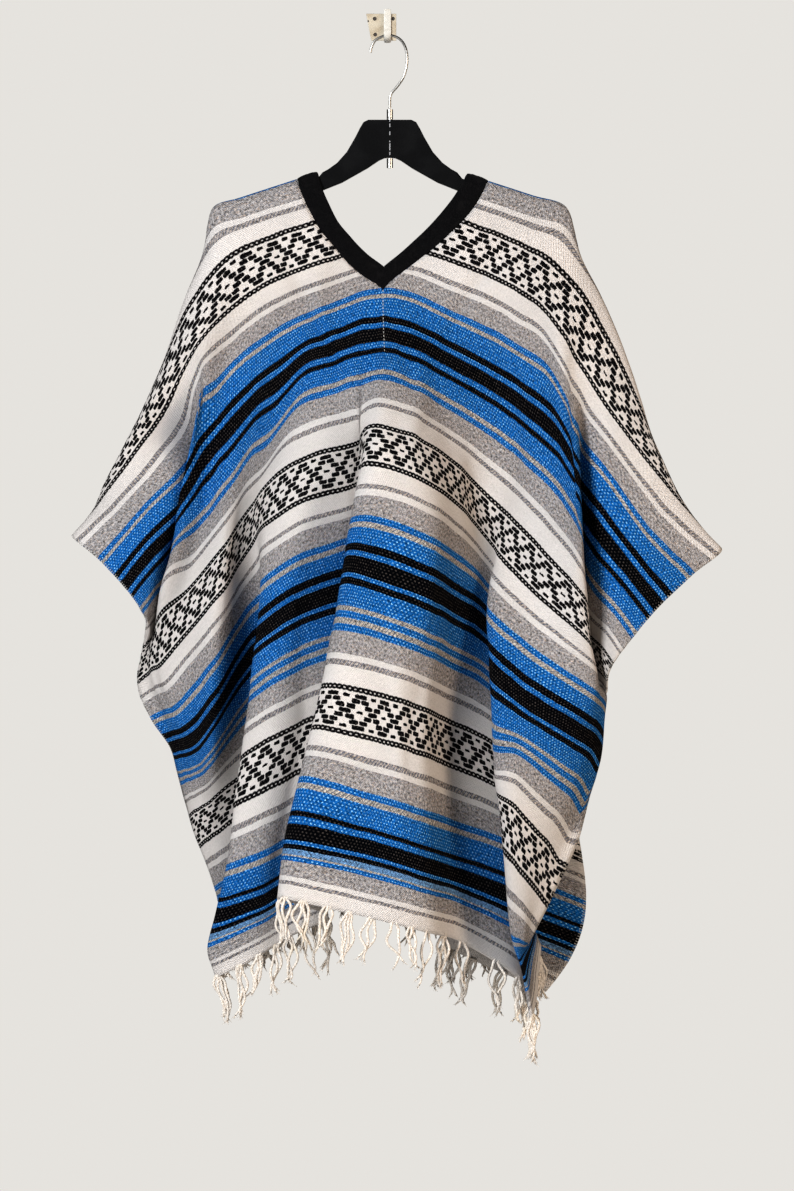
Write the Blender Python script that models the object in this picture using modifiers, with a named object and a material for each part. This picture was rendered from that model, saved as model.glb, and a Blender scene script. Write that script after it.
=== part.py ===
# A striped blanket poncho on a plastic hanger, hung from a wall hook.
# Metres, +Z up. The origin is the middle of the hook plate's back, on the wall (the plane Y = 0);
# the front of the garment faces -Y. In the tables: v is the distance along the warp from the
# shoulder fold, u the distance across the blanket from its middle, x the place to the right,
# drop the distance below the origin and out the distance from the wall, all in millimetres.
import bpy
import bmesh
from math import atan2, cos, hypot, pi, radians, sin, sqrt
from mathutils import Vector

MM = 0.001

# ---------------------------------------------------------------- blanket
HALF_WIDTH = 670.0            # selvedge to middle
HALF_LENGTH = 960.0           # shoulder fold to hem
CLOTH_THICKNESS = 2.5
FRINGE_LENGTH = 66.0
FRINGE_THICKNESS = 2.5
FRINGE_STEP = 16.0
FRINGE_LEAD = 2.0             # extra clearance under the hem, in seam gaps
FRINGE_STRETCHES = {          # the stretches of the front hem that hang clear: u from, u to
    "fringe_left": (-316.0, -190.0),
    "fringe_middle": (-54.0, 180.0),
    "fringe_corner": (480.0, 572.0),
}
FRINGE_DROOP = 0.6            # how strongly the fringe turns from the cloth's fall to straight down
SEAM_GAP = 0.3

# ---------------------------------------------------------------- hanger and shoulder line
HANGER_X = 11.0               # the hanger's middle, right of the hook plate's middle
HANGER_OUT = 48.0             # its plane, from the wall
ARM_TOP_DROP = 158.0          # where the two shoulder lines would meet
ARM_RUN = 0.95                # sideways travel for each millimetre along the shoulder line
ARM_FALL = 0.31               # and fall
ARM_REACH = 231.0             # middle to arm tip, along the cloth
WRAP_RADIUS = 9.0             # the fold's radius over the arm
ARM_THICKNESS = 9.0

# ---------------------------------------------------------------- neck
NECK_DEPTH = 184.0
BAND_WIDTH = 27.0
BAND_THICKNESS = 3.0
BAND_START = 0.025            # share of the band's width left between it and the cloth
NECK_EDGE = (                 # v, opening to the left, opening to the right
    (0.0, 123.0, 131.0),
    (50.0, 112.0, 112.0),
    (93.0, 95.0, 86.0),
    (140.0, 50.0, 45.0),
    (184.0, 0.0, 0.0),
)

# ---------------------------------------------------------------- front drape
# Each fold runs from the shoulder to the hem. Its rows hold (v, u, x, drop, out).
# The shoulder row (v = 0) of a fold that lies on the hanger's arm gives u only.
FRONT_FOLDS = {
    "left_selvedge": (
        (0, -670, -271, 667, 22), (93, -670, -364, 649, 45), (125, -670, -386, 643, 62),
        (184, -670, -352, 673, 88), (299, -670, -298, 738, 108), (375, -670, -291, 774, 84),
        (401, -670, -302, 803, 70), (492, -670, -289, 871, 62), (552, -670, -264, 907, 62),
        (627, -670, -252, 952, 60), (722, -670, -234, 1012, 70), (830, -670, -205, 1096, 62),
        (960, -670, -199, 1172, 45)),
    "left_wing_middle": (
        (0, -550, -262, 544, 28), (42, -555, -304, 558, 48),
        (93, -560, -346, 579, 62), (184, -585, -301, 614, 95),
        (299, -635, -290, 727, 106), (401, -652, -298, 799, 74), (552, -655, -259, 906, 70),
        (722, -658, -230, 1008, 78), (830, -655, -201, 1093, 66), (960, -655, -196, 1172, 48)),
    "left_wing_inner": (
        (0, -460, -250, 455, 34), (42, -469, -286, 484, 60),
        (93, -480, -315, 522, 76), (184, -505, -251, 561, 80),
        (299, -595, -280, 711, 84), (401, -634, -292, 794, 77), (552, -642, -254, 904, 78),
        (722, -646, -226, 1004, 86), (830, -640, -197, 1090, 68), (960, -640, -192, 1170, 50)),
    "left_side_valley": (
        (0, -370, -236, 366, 41), (42, -381, -264, 406, 66),
        (93, -395, -281, 466, 84), (184, -450, -231, 529, 40),
        (299, -565, -266, 692, 48), (401, -612, -288, 788, 80), (552, -630, -249, 903, 86),
        (722, -636, -222, 1002, 90), (830, -624, -192, 1087, 70), (960, -622, -188, 1168, 52)),
    "left_side_ridge": (
        (0, -285, -214, 283, 43), (42, -295, -234, 322, 70),
        (93, -305, -231, 379, 94), (184, -385, -228, 476, 96),
        (242, -450, -252, 602, 96), (299, -525, -261, 663, 98), (345, -565, -275, 713, 96),
        (401, -582, -280, 779, 86), (552, -612, -243, 901, 96), (722, -624, -218, 998, 94),
        (830, -606, -187, 1083, 72), (960, -600, -183, 1166, 54)),
    "left_back_face": (
        (0, -231), (93, -235, -183, 324, 90), (184, -320, -199, 443, 80),
        (299, -440, -223, 623, 86), (401, -494, -241, 736, 108), (552, -560, -226, 889, 110),
        (722, -606, -209, 992, 92), (830, -582, -180, 1079, 72), (960, -575, -176, 1164, 55)),
    "left_back_ridge": (
        (0, -200), (93, -185, -141, 299, 86), (184, -265, -168, 413, 84),
        (299, -375, -191, 584, 100), (401, -403, -196, 682, 136), (552, -505, -210, 866, 130),
        (722, -588, -199, 983, 84), (830, -552, -172, 1072, 70), (960, -540, -168, 1160, 55)),
    "left_gap_edge": (
        (0, -172), (93, -150, -114, 288, 84), (184, -215, -141, 394, 86),
        (299, -315, -164, 543, 92), (401, -350, -178, 651, 100), (552, -400, -161, 788, 66),
        (722, -545, -173, 969, 60), (830, -490, -150, 1060, 58), (960, -480, -149, 1150, 50)),
    "left_gap_depth": (
        (0, -150), (93, -120, -91, 281, 82), (184, -175, -118, 379, 86),
        (299, -250, -139, 524, 95), (401, -300, -159, 623, 86), (552, -345, -136, 773, 70),
        (722, -435, -129, 952, 56), (830, -400, -128, 1046, 64), (960, -380, -126, 1140, 70)),
    "left_front_ridge": (
        (0, -128), (93, -100, -71, 274, 80), (184, -130, -89, 366, 86),
        (299, -180, -101, 478, 108), (401, -230, -134, 597, 128), (552, -270, -154, 768, 136),
        (722, -296, -175, 946, 152), (830, -305, -194, 1071, 150), (875, -308, -204, 1114, 142),
        (910, -310, -215, 1154, 134), (960, -320, -205, 1191, 122)),
    "left_front_crest": (
        (0, -90), (93, -70, -47, 268, 76), (184, -85, -63, 356, 84),
        (299, -110, -58, 463, 118), (401, -152, -83, 568, 146), (552, -195, -114, 737, 158),
        (722, -236, -135, 923, 166), (830, -245, -149, 1054, 160), (960, -265, -164, 1172, 140)),
    "left_front_edge": (
        (0, -50), (93, -40, -26, 263, 73), (184, -45, -34, 344, 82),
        (299, -65, -31, 454, 125), (401, -92, -36, 556, 128), (552, -125, -66, 716, 138),
        (722, -180, -95, 903, 145), (830, -185, -120, 1039, 140), (960, -195, -114, 1142, 125)),
    "middle_fold_depth": (
        (0, -30), (93, -25, -14, 261, 72), (184, -25, -19, 339, 82),
        (299, -45, -21, 451, 128), (401, -62, -24, 549, 124), (552, -85, -39, 706, 128),
        (722, -115, -59, 889, 140), (830, -120, -74, 1011, 135), (960, -125, -66, 1117, 120)),
    "middle_fold_ridge": (
        (0, -12), (93, -12, -4, 259, 72), (184, -12, -6, 337, 82),
        (299, -28, -9, 448, 134), (401, -40, -19, 534, 166), (492, -45, -37, 627, 178),
        (552, -46, -45, 683, 186), (722, -52, -79, 857, 206), (830, -54, -104, 961, 212),
        (875, -55, -116, 1009, 213), (960, -56, -126, 1090, 214)),
    "right_front_face": (
        (0, 12), (93, 12, 20, 259, 72), (184, 10, 9, 336, 82),
        (299, 15, 14, 449, 138), (401, 25, 30, 541, 184), (552, 35, -4, 686, 206),
        (722, 38, -10, 866, 222), (875, 38, -29, 1023, 224), (960, 38, -45, 1106, 226)),
    "right_front_ridge": (
        (0, 50), (93, 45, 47, 262, 73), (184, 50, 38, 342, 80),
        (299, 55, 41, 459, 132), (401, 62, 49, 549, 180), (552, 90, 55, 708, 194),
        (722, 140, 54, 886, 198), (875, 160, 61, 1051, 200), (960, 165, 62, 1134, 198)),
    "right_front_flank": (
        (0, 110), (93, 95, 89, 273, 80), (184, 100, 74, 358, 80),
        (299, 120, 82, 481, 108), (401, 152, 94, 579, 122), (552, 180, 89, 727, 132),
        (722, 200, 76, 898, 132), (875, 212, 89, 1062, 140), (960, 215, 92, 1144, 145)),
    "right_gap_edge": (
        (0, 135), (93, 125, 118, 283, 82), (184, 165, 115, 377, 82),
        (299, 205, 136, 513, 92), (401, 250, 126, 613, 74), (552, 270, 129, 753, 76),
        (722, 288, 135, 925, 80), (830, 290, 150, 1039, 80), (960, 292, 155, 1183, 84)),
    "right_gap_depth": (
        (0, 160), (93, 165, 145, 294, 86), (184, 215, 145, 391, 84),
        (299, 255, 169, 538, 95), (401, 280, 143, 631, 72), (552, 335, 155, 786, 64),
        (722, 385, 179, 963, 62), (830, 410, 186, 1067, 62), (960, 430, 185, 1223, 50)),
    "right_side_fold": (
        (0, 190), (93, 205, 170, 307, 90), (184, 265, 174, 409, 87),
        (299, 290, 184, 552, 100), (401, 310, 155, 643, 78), (492, 350, 133, 731, 106),
        (552, 392, 136, 803, 132), (627, 440, 140, 904, 150), (722, 494, 148, 991, 166),
        (814, 562, 164, 1141, 160), (875, 575, 176, 1179, 158), (960, 580, 189, 1233, 150)),
    "right_side_face": (
        (0, 231), (93, 260, 203, 329, 93), (184, 325, 208, 433, 92),
        (299, 360, 224, 593, 120), (401, 380, 190, 681, 112), (552, 470, 174, 841, 152),
        (722, 545, 164, 1009, 174), (814, 595, 171, 1144, 158), (875, 605, 180, 1167, 140),
        (960, 605, 193, 1214, 118)),
    "right_side_ridge": (
        (0, 285, 243, 282, 43), (42, 294, 258, 318, 69), (93, 304, 230, 358, 94), (184, 400, 244, 503, 100),
        (299, 470, 251, 652, 128), (401, 505, 258, 756, 142), (492, 545, 264, 836, 135),
        (552, 575, 246, 886, 138), (722, 597, 186, 1038, 160), (814, 630, 178, 1148, 152),
        (875, 635, 185, 1154, 118), (960, 630, 196, 1192, 85)),
    "right_side_valley": (
        (0, 370, 268, 363, 38), (42, 375, 294, 386, 63), (93, 380, 270, 424, 84), (184, 440, 249, 519, 70),
        (299, 530, 251, 676, 62), (401, 570, 251, 779, 72), (492, 600, 273, 846, 105),
        (552, 618, 264, 899, 112), (722, 625, 198, 1051, 148), (814, 645, 180, 1149, 146),
        (875, 648, 188, 1147, 106), (960, 645, 198, 1179, 66)),
    "right_wing_inner": (
        (0, 460, 286, 452, 32), (42, 467, 322, 468, 57), (93, 475, 318, 502, 76), (184, 490, 274, 552, 84),
        (299, 585, 268, 711, 90), (401, 605, 264, 788, 92), (492, 630, 278, 852, 88),
        (552, 640, 270, 908, 92), (722, 643, 205, 1062, 140), (814, 655, 181, 1149, 142),
        (875, 657, 189, 1143, 100), (960, 655, 199, 1169, 54)),
    "right_wing_middle": (
        (0, 550, 298, 541, 28), (42, 557, 336, 550, 49), (93, 565, 361, 566, 66), (184, 580, 336, 637, 92),
        (299, 630, 293, 739, 112), (401, 640, 274, 798, 112), (492, 650, 280, 854, 78),
        (552, 655, 273, 914, 80), (722, 657, 211, 1071, 133), (814, 662, 183, 1151, 139),
        (875, 663, 190, 1141, 96), (960, 662, 200, 1162, 47)),
    "right_selvedge": (
        (0, 670, 301, 662, 22), (93, 670, 395, 657, 45), (125, 670, 425, 659, 62),
        (184, 670, 390, 691, 86), (242, 670, 346, 732, 108), (299, 670, 314, 769, 122),
        (401, 670, 284, 812, 126), (492, 670, 281, 857, 70), (552, 670, 274, 919, 68),
        (627, 670, 259, 973, 88), (660, 670, 248, 1016, 108), (722, 670, 219, 1078, 125),
        (814, 670, 184, 1149, 136), (875, 670, 191, 1138, 92), (960, 670, 200, 1156, 42)),
}
FOLDS = list(FRONT_FOLDS.values())
RIGHT_HALF_START = list(FRONT_FOLDS).index("right_front_face")

# ---------------------------------------------------------------- back drape
# Flat pleats against the wall: u, then x and out half way down and at the hem.
BACK_PLEATS = (
    (-670.0, -255, 18, -190, 18), (-526.4, -126, 10, -88, 12), (-454.6, -186, 34, -156, 36),
    (-335.0, -72, 10, -44, 12), (-263.2, -126, 34, -108, 36),
    (-226.0, -90, 26, -73, 28), (-200.0, -65, 21, -49, 23),
    (-143.6, -12, 10, 4, 12), (-71.8, -62, 34, -60, 36), (55.8, 50, 10, 48, 12),
    (139.6, 0, 34, -10, 36), (200.0, 57, 21, 46, 23), (226.0, 82, 15, 70, 17), (251.3, 106, 10, 94, 12),
    (335.0, 56, 34, 36, 36), (446.7, 162, 10, 140, 12), (530.4, 112, 34, 82, 36),
    (670.0, 246, 24, 207, 28),
)
BACK_MIDDLE = 480.0           # the half-way level, below the shoulder fold
BACK_BULGE = 40.0             # how far the right selvedge swings out between the two levels
BACK_BULGE_START = 450.0      # and the u it starts from
BACK_SHORTENING = (0.145, 0.065)   # length lost in small waves by the hem, at left and right

NECK_LEVELS = (5, 10, 15, 40, 67, 93, 125, 155, 184)
FRONT_LEVELS = (225, 270, 315, 360, 405, 450, 500, 552, 605, 660, 715, 765, 814, 850, 885, 920, 960)
BACK_LEVELS = (260, 360, 480, 600, 720, 840, 960)
COLUMNS_PER_FOLD = 2
BACK_FRINGE_COLUMNS = 24

# ---------------------------------------------------------------- hard pieces
PLATE_WIDTH, PLATE_HEIGHT, PLATE_THICKNESS = 38.0, 34.0, 2.0
PRONG_X, PRONG_WIDTH = 8.0, 8.0
PRONG_THICKNESS = 3.0
PRONG_REACH = 55.0            # the crook's tip, from the wall
WIRE_RADIUS = 1.6
WIRE_PATH = (                 # x, drop
    (-13.5, 36.0), (-11.5, 28.0), (-7.5, 21.0), (0.0, 16.5), (8.0, 14.6), (17.0, 15.6),
    (25.0, 20.5), (30.5, 29.5), (32.8, 42.0), (31.5, 56.0), (27.5, 68.0), (20.0, 79.0),
    (13.5, 86.5), (11.2, 93.0), (11.0, 106.0),
)
WIRE_REST = 17.4              # drop at which the wire sits in the prong's crook
FERRULE_RADIUS = 3.9
FERRULE_TOP, FERRULE_BOTTOM = 107.5, 120.2
ROD_TOP, ROD_BOTTOM = 169.0, 181.0
HANGER_OUTLINE = (            # half outline: distance from the hanger's middle, drop
    (0.0, 120.6), (27.0, 120.6), (33.0, 123.5), (37.5, 131.0), (43.0, 142.0), (54.0, 161.0),
    (66.0, 174.5), (77.0, 182.5), (84.5, 186.6), (91.0, 194.6),
    (198.0, 227.8), (204.0, 231.6), (203.0, 239.0),
    (193.0, 242.5), (90.0, 211.5), (60.0, 199.5), (28.0, 181.5), (14.0, 172.0), (7.0, 168.8),
    (0.0, 168.0),
)


def hermite(knots, t):
    """Smooth curve through (t, values...) rows; tangents from each row's two neighbours."""
    last = len(knots) - 1
    i = 0
    while i < last - 1 and t > knots[i + 1][0]:
        i += 1
    t0, t1 = knots[i][0], knots[i + 1][0]
    span = t1 - t0
    s = (t - t0) / span

    def slope(j, k):
        if j == 0 or j == last:
            a, b = (0, 1) if j == 0 else (last - 1, last)
            return (knots[b][k] - knots[a][k]) / (knots[b][0] - knots[a][0])
        before = (knots[j][k] - knots[j - 1][k]) / (knots[j][0] - knots[j - 1][0])
        after = (knots[j + 1][k] - knots[j][k]) / (knots[j + 1][0] - knots[j][0])
        weight = (knots[j + 1][0] - knots[j][0]) / (knots[j + 1][0] - knots[j - 1][0])
        return before * weight + after * (1.0 - weight)

    values = []
    for k in range(1, len(knots[0])):
        p0, p1 = knots[i][k], knots[i + 1][k]
        m0, m1 = slope(i, k) * span, slope(i + 1, k) * span
        values.append(p0 * (2 * s**3 - 3 * s**2 + 1) + m0 * (s**3 - 2 * s**2 + s)
                      + p1 * (3 * s**2 - 2 * s**3) + m1 * (s**3 - s**2))
    return values


def arm_point(u):
    """Top of the cloth on the hanger's arm."""
    return HANGER_X + ARM_RUN * u, ARM_TOP_DROP + ARM_FALL * abs(u)


def fold_rows(fold):
    """A fold's rows, with the shoulder row of a fold on the arm filled in from the hanger."""
    if len(fold[0]) > 2:
        return fold
    u = fold[0][1]
    x, drop = arm_point(u)
    wrap_end = WRAP_RADIUS * pi / 2
    return ((wrap_end, u, x, drop + WRAP_RADIUS, HANGER_OUT + WRAP_RADIUS),) + fold[1:]


FOLD_CURVES = [fold_rows(fold) for fold in FOLDS]


def front_nodes(v):
    """(u, x, drop, out) of every fold at one level, left to right."""
    nodes = []
    for fold, curve in zip(FOLDS, FOLD_CURVES):
        if v < curve[0][0]:
            u = fold[0][1]
            x, drop = arm_point(u)
            turn = v / WRAP_RADIUS
            nodes.append((u, x, drop + WRAP_RADIUS * (1 - cos(turn)),
                          HANGER_OUT + WRAP_RADIUS * sin(turn)))
        else:
            nodes.append(tuple(hermite(curve, v)))
    return nodes


def back_nodes(w):
    """(u, x, drop, out) of every back pleat at a distance w below the shoulder fold."""
    nodes = []
    wrap_end = WRAP_RADIUS * pi / 2
    top = front_nodes(0.0)
    for u, x_middle, out_middle, x_hem, out_hem in BACK_PLEATS:
        side = abs(u) > ARM_REACH
        if side:
            x_top, drop_top, out_top = hermite(top, u)
            x_anchor, drop_anchor = arm_point(ARM_REACH if u > 0 else -ARM_REACH)
            beside = abs(u) - ARM_REACH
        else:
            x_top, drop_top = x_anchor, drop_anchor = arm_point(u)
            out_top = HANGER_OUT - WRAP_RADIUS
            beside = 0.0
        if not side and w < wrap_end:
            turn = w / WRAP_RADIUS
            nodes.append((u, x_top, drop_top + WRAP_RADIUS * (1 - cos(turn)),
                          HANGER_OUT - WRAP_RADIUS * sin(turn)))
            continue
        start = 0.0 if side else wrap_end
        rows = ((start, x_top, out_top), (BACK_MIDDLE, x_middle, out_middle),
                (HALF_LENGTH, x_hem, out_hem))
        x, out = hermite(rows, w)
        if u > BACK_BULGE_START and w > BACK_MIDDLE:
            lower = ((w - BACK_MIDDLE) / (HALF_LENGTH - BACK_MIDDLE)) ** 2.2
            reach = (u - BACK_BULGE_START) / (HALF_WIDTH - BACK_BULGE_START)
            x += BACK_BULGE * reach * sin(pi * lower)
        right_share = (u + HALF_WIDTH) / (2 * HALF_WIDTH)
        loss = BACK_SHORTENING[0] + (BACK_SHORTENING[1] - BACK_SHORTENING[0]) * right_share
        fall = sqrt(max(hypot(beside, w) ** 2 - (x - x_anchor) ** 2, 0.0))
        if not side:
            fall += WRAP_RADIUS * (1 - pi / 2)
        nodes.append((u, x, drop_anchor + fall * (1 - loss * w / HALF_LENGTH), out))
    return nodes


def cloth_point(u, v):
    """Middle of the cloth at u across and v down the front (negative down the back)."""
    nodes = front_nodes(v) if v >= 0 else back_nodes(-v)
    x, drop, out = hermite(nodes, u)
    return Vector((x * MM, -out * MM, -drop * MM))


def neck_edge(v, side):
    """Half width of the neck opening at a level, on the left (-1) or the right (1)."""
    if abs(v) >= NECK_DEPTH:
        return 0.0
    left, right = hermite(NECK_EDGE, abs(v))
    return left if side < 0 else right


def column_places(v, side):
    """u of every column of one half of the cloth, from the middle line to the selvedge."""
    nodes = front_nodes(max(v, 0.0))
    us = [node[0] for node in nodes]
    us = us[RIGHT_HALF_START:] if side > 0 else [-u for u in reversed(us[:RIGHT_HALF_START])]
    us = [0.0] + us
    places = [us[0]]
    for a, b in zip(us, us[1:]):
        for step in range(1, COLUMNS_PER_FOLD + 1):
            places.append(a + (b - a) * step / COLUMNS_PER_FOLD)
    if v < 0:
        count = len(places) - 1
        share = min(-v / BACK_MIDDLE, 1.0)
        places = [p + (HALF_WIDTH * i / count - p) * share for i, p in enumerate(places)]
    edge = neck_edge(v, side)
    return [side * (edge + p * (HALF_WIDTH - edge) / HALF_WIDTH) for p in places]


def material(name, colour, roughness, metallic=0.0):
    mat = bpy.data.materials.new(name)
    mat.use_nodes = True
    shader = mat.node_tree.nodes["Principled BSDF"]
    shader.inputs["Base Color"].default_value = (*colour, 1.0)
    shader.inputs["Roughness"].default_value = roughness
    shader.inputs["Metallic"].default_value = metallic
    return mat


def add_object(name, mesh, mat):
    obj = bpy.data.objects.new(name, mesh)
    obj.data.materials.append(mat)
    collection.objects.link(obj)
    return obj


def add_sheet(name, mat, mesh, thickness):
    """An open surface thickened equally to both sides."""
    mesh.shade_smooth()
    obj = add_object(name, mesh, mat)
    solid = obj.modifiers.new("thickness", "SOLIDIFY")
    solid.thickness = thickness * MM
    solid.offset = 0.0
    solid.use_even_offset = True
    return obj


def grid_faces(bm, rows):
    for row, below in zip(rows, rows[1:]):
        for i in range(len(row) - 1):
            corners = [row[i], row[i + 1], below[i + 1], below[i]]
            if len(set(corners)) == 4:
                bm.faces.new(corners)


def make_blanket(mat):
    """One length of cloth, folded over the hanger, with a pointed opening cut for the neck."""
    bm = bmesh.new()
    back_levels = NECK_LEVELS + BACK_LEVELS
    levels = [-w for w in reversed(back_levels)] + [0.0] + list(NECK_LEVELS + FRONT_LEVELS)
    left_rows, right_rows = [], []
    for v in levels:
        right = [bm.verts.new(cloth_point(u, v)) for u in column_places(v, 1)]
        left = [bm.verts.new(cloth_point(u, v)) for u in column_places(v, -1)[1:]]
        middle = right[0] if abs(v) >= NECK_DEPTH else bm.verts.new(
            cloth_point(-neck_edge(v, -1), v))
        left_rows.append([middle] + left)
        right_rows.append(right)
    grid_faces(bm, right_rows)
    grid_faces(bm, [list(reversed(row)) for row in left_rows])
    mesh = bpy.data.meshes.new("blanket")
    bm.to_mesh(mesh)
    bm.free()
    return add_sheet("blanket", mat, mesh, CLOTH_THICKNESS)


def band_edges(side):
    """(u, v) of the neck band's outer and inner edge, from the back point over to the front."""
    levels = [-w for w in reversed(NECK_LEVELS)] + [0.0] + list(NECK_LEVELS)
    outer = [Vector((neck_edge(v, side), v)) for v in levels]
    inner = []
    last = len(outer) - 1
    for i, point in enumerate(outer):
        along = (outer[min(i + 1, last)] - outer[max(i - 1, 0)]).normalized()
        inward = Vector((-abs(along.y), along.x if point.x > 1 else 0.0)).normalized()
        inner.append(point + inward * BAND_WIDTH)
    mitre = BAND_WIDTH / sin(atan2(outer[-2].x, outer[-1].y - outer[-2].y))
    inner[0] = Vector((SEAM_GAP, -NECK_DEPTH + mitre))
    inner[-1] = Vector((SEAM_GAP, NECK_DEPTH - mitre))
    outer[0].x = outer[-1].x = SEAM_GAP
    for point in inner:
        point.x = max(point.x, SEAM_GAP)
    return outer, inner


def make_neck_band(name, side, mat):
    """Half of the neck band, mitred at the front and the back point."""
    bm = bmesh.new()
    outer, inner = band_edges(side)
    rows = []
    for a, b in zip(outer, inner):
        row = []
        for share in (BAND_START, 0.5, 1.0):
            u, v = a.lerp(b, share)
            row.append(bm.verts.new(cloth_point(side * u, v)))
        rows.append(row if side > 0 else list(reversed(row)))
    grid_faces(bm, [list(reversed(row)) for row in rows])
    mesh = bpy.data.meshes.new(name)
    bm.to_mesh(mesh)
    bm.free()
    return add_sheet(name, mat, mesh, BAND_THICKNESS)


def make_front_fringe(name, u_from, u_to, mat):
    """The reach of the knotted warp ends under one stretch of the front's hem."""
    bm = bmesh.new()
    above = HALF_LENGTH - FRINGE_LENGTH / 4
    rows = [[], []]
    columns = max(3, round((u_to - u_from) / FRINGE_STEP))
    for i in range(columns + 1):
        u = u_from + (u_to - u_from) * i / columns
        hem = cloth_point(u, HALF_LENGTH)
        along = (hem - cloth_point(u, above)).normalized()
        start = hem + (along - Vector((0, 0, FRINGE_LEAD))) * SEAM_GAP * MM
        hang = (along + Vector((0, 0, -FRINGE_DROOP))).normalized()
        rows[0].append(bm.verts.new(start))
        rows[1].append(bm.verts.new(start + hang * FRINGE_LENGTH * MM))
    grid_faces(bm, rows)
    mesh = bpy.data.meshes.new(name)
    bm.to_mesh(mesh)
    bm.free()
    return add_sheet(name, mat, mesh, FRINGE_THICKNESS)


def make_back_fringe(mat):
    """The reach of the back's warp ends: one smooth strip under the lowest layer of the pleats."""
    hem = [cloth_point(u, -HALF_LENGTH) / MM for u in
           list(reversed(column_places(-HALF_LENGTH, -1)[1:])) + column_places(-HALF_LENGTH, 1)]
    left, right = min(p.x for p in hem), max(p.x for p in hem)
    bm = bmesh.new()
    rows = [[], []]
    for i in range(BACK_FRINGE_COLUMNS + 1):
        x = left + (right - left) * i / BACK_FRINGE_COLUMNS
        half = 1.5 * (right - left) / BACK_FRINGE_COLUMNS
        near = [p for p in hem if abs(p.x - x) <= half]
        top = min(p.z for p in near) - 2 * SEAM_GAP
        out = sum(-p.y for p in near) / len(near)
        for row, z in zip(rows, (top, top - FRINGE_LENGTH)):
            row.append(bm.verts.new((x * MM, -out * MM, z * MM)))
    grid_faces(bm, rows)
    mesh = bpy.data.meshes.new("fringe_back")
    bm.to_mesh(mesh)
    bm.free()
    return add_sheet("fringe_back", mat, mesh, FRINGE_THICKNESS)


def make_tube(name, points, radius, mat):
    curve = bpy.data.curves.new(name, "CURVE")
    curve.dimensions = "3D"
    curve.bevel_depth = radius * MM
    curve.bevel_resolution = 2
    curve.use_fill_caps = True
    spline = curve.splines.new("POLY")
    spline.points.add(len(points) - 1)
    for point, place in zip(spline.points, points):
        point.co = (*place, 1.0)
    return add_object(name, curve, mat)


def make_hook_wire(mat):
    """The wire hook, a smooth curve through its bends, standing in the hanger's plane."""
    knots = [(float(i), *place) for i, place in enumerate(WIRE_PATH)]
    steps = 3
    points = []
    for i in range((len(knots) - 1) * steps + 1):
        x, drop = hermite(knots, i / steps)
        points.append((x * MM, -HANGER_OUT * MM, -drop * MM))
    return make_tube("hook_wire", points, WIRE_RADIUS, mat)


def make_cylinder(name, x, out, top, bottom, radius, mat):
    bpy.ops.mesh.primitive_cylinder_add(
        vertices=20, radius=radius * MM, depth=(bottom - top) * MM,
        location=(x * MM, -out * MM, -(top + bottom) / 2 * MM))
    obj = bpy.context.object
    obj.name = name
    obj.data.materials.append(mat)
    obj.data.shade_smooth()
    obj.data.set_sharp_from_angle(angle=radians(40))
    for other in obj.users_collection:
        other.objects.unlink(obj)
    collection.objects.link(obj)
    return obj


def make_hanger(mat):
    """The moulded hanger: a flat outline, extruded, with softened edges."""
    outline = list(HANGER_OUTLINE) + [(-x, drop) for x, drop in reversed(HANGER_OUTLINE[1:-1])]
    curve = bpy.data.curves.new("hanger_outline", "CURVE")
    curve.dimensions = "2D"
    curve.fill_mode = "BOTH"
    curve.extrude = ARM_THICKNESS / 2 * MM
    spline = curve.splines.new("POLY")
    spline.points.add(len(outline) - 1)
    for point, (x, drop) in zip(spline.points, outline):
        point.co = ((x + HANGER_X) * MM, -drop * MM, 0.0, 1.0)
    spline.use_cyclic_u = True
    obj = add_object("hanger", curve, mat)
    obj.rotation_euler = (radians(90), 0, 0)
    obj.location = (0, -HANGER_OUT * MM, 0)
    weld = obj.modifiers.new("weld", "WELD")
    weld.merge_threshold = 0.00005
    bevel = obj.modifiers.new("bevel", "BEVEL")
    bevel.width = 2.6 * MM
    bevel.segments = 2
    bevel.limit_method = "ANGLE"
    bevel.angle_limit = radians(60)
    return obj


def make_plate(mat):
    """The hook's flat plate on the wall."""
    bpy.ops.mesh.primitive_cube_add(size=1.0, location=(0, -PLATE_THICKNESS / 2 * MM, 0))
    obj = bpy.context.object
    obj.name = "wall_plate"
    obj.scale = (PLATE_WIDTH * MM, PLATE_THICKNESS * MM, PLATE_HEIGHT * MM)
    bpy.ops.object.transform_apply(location=False, rotation=False, scale=True)
    obj.data.materials.append(mat)
    bevel = obj.modifiers.new("corners", "BEVEL")
    bevel.width = 0.5 * MM
    bevel.segments = 1
    for other in obj.users_collection:
        other.objects.unlink(obj)
    collection.objects.link(obj)
    return obj


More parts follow.
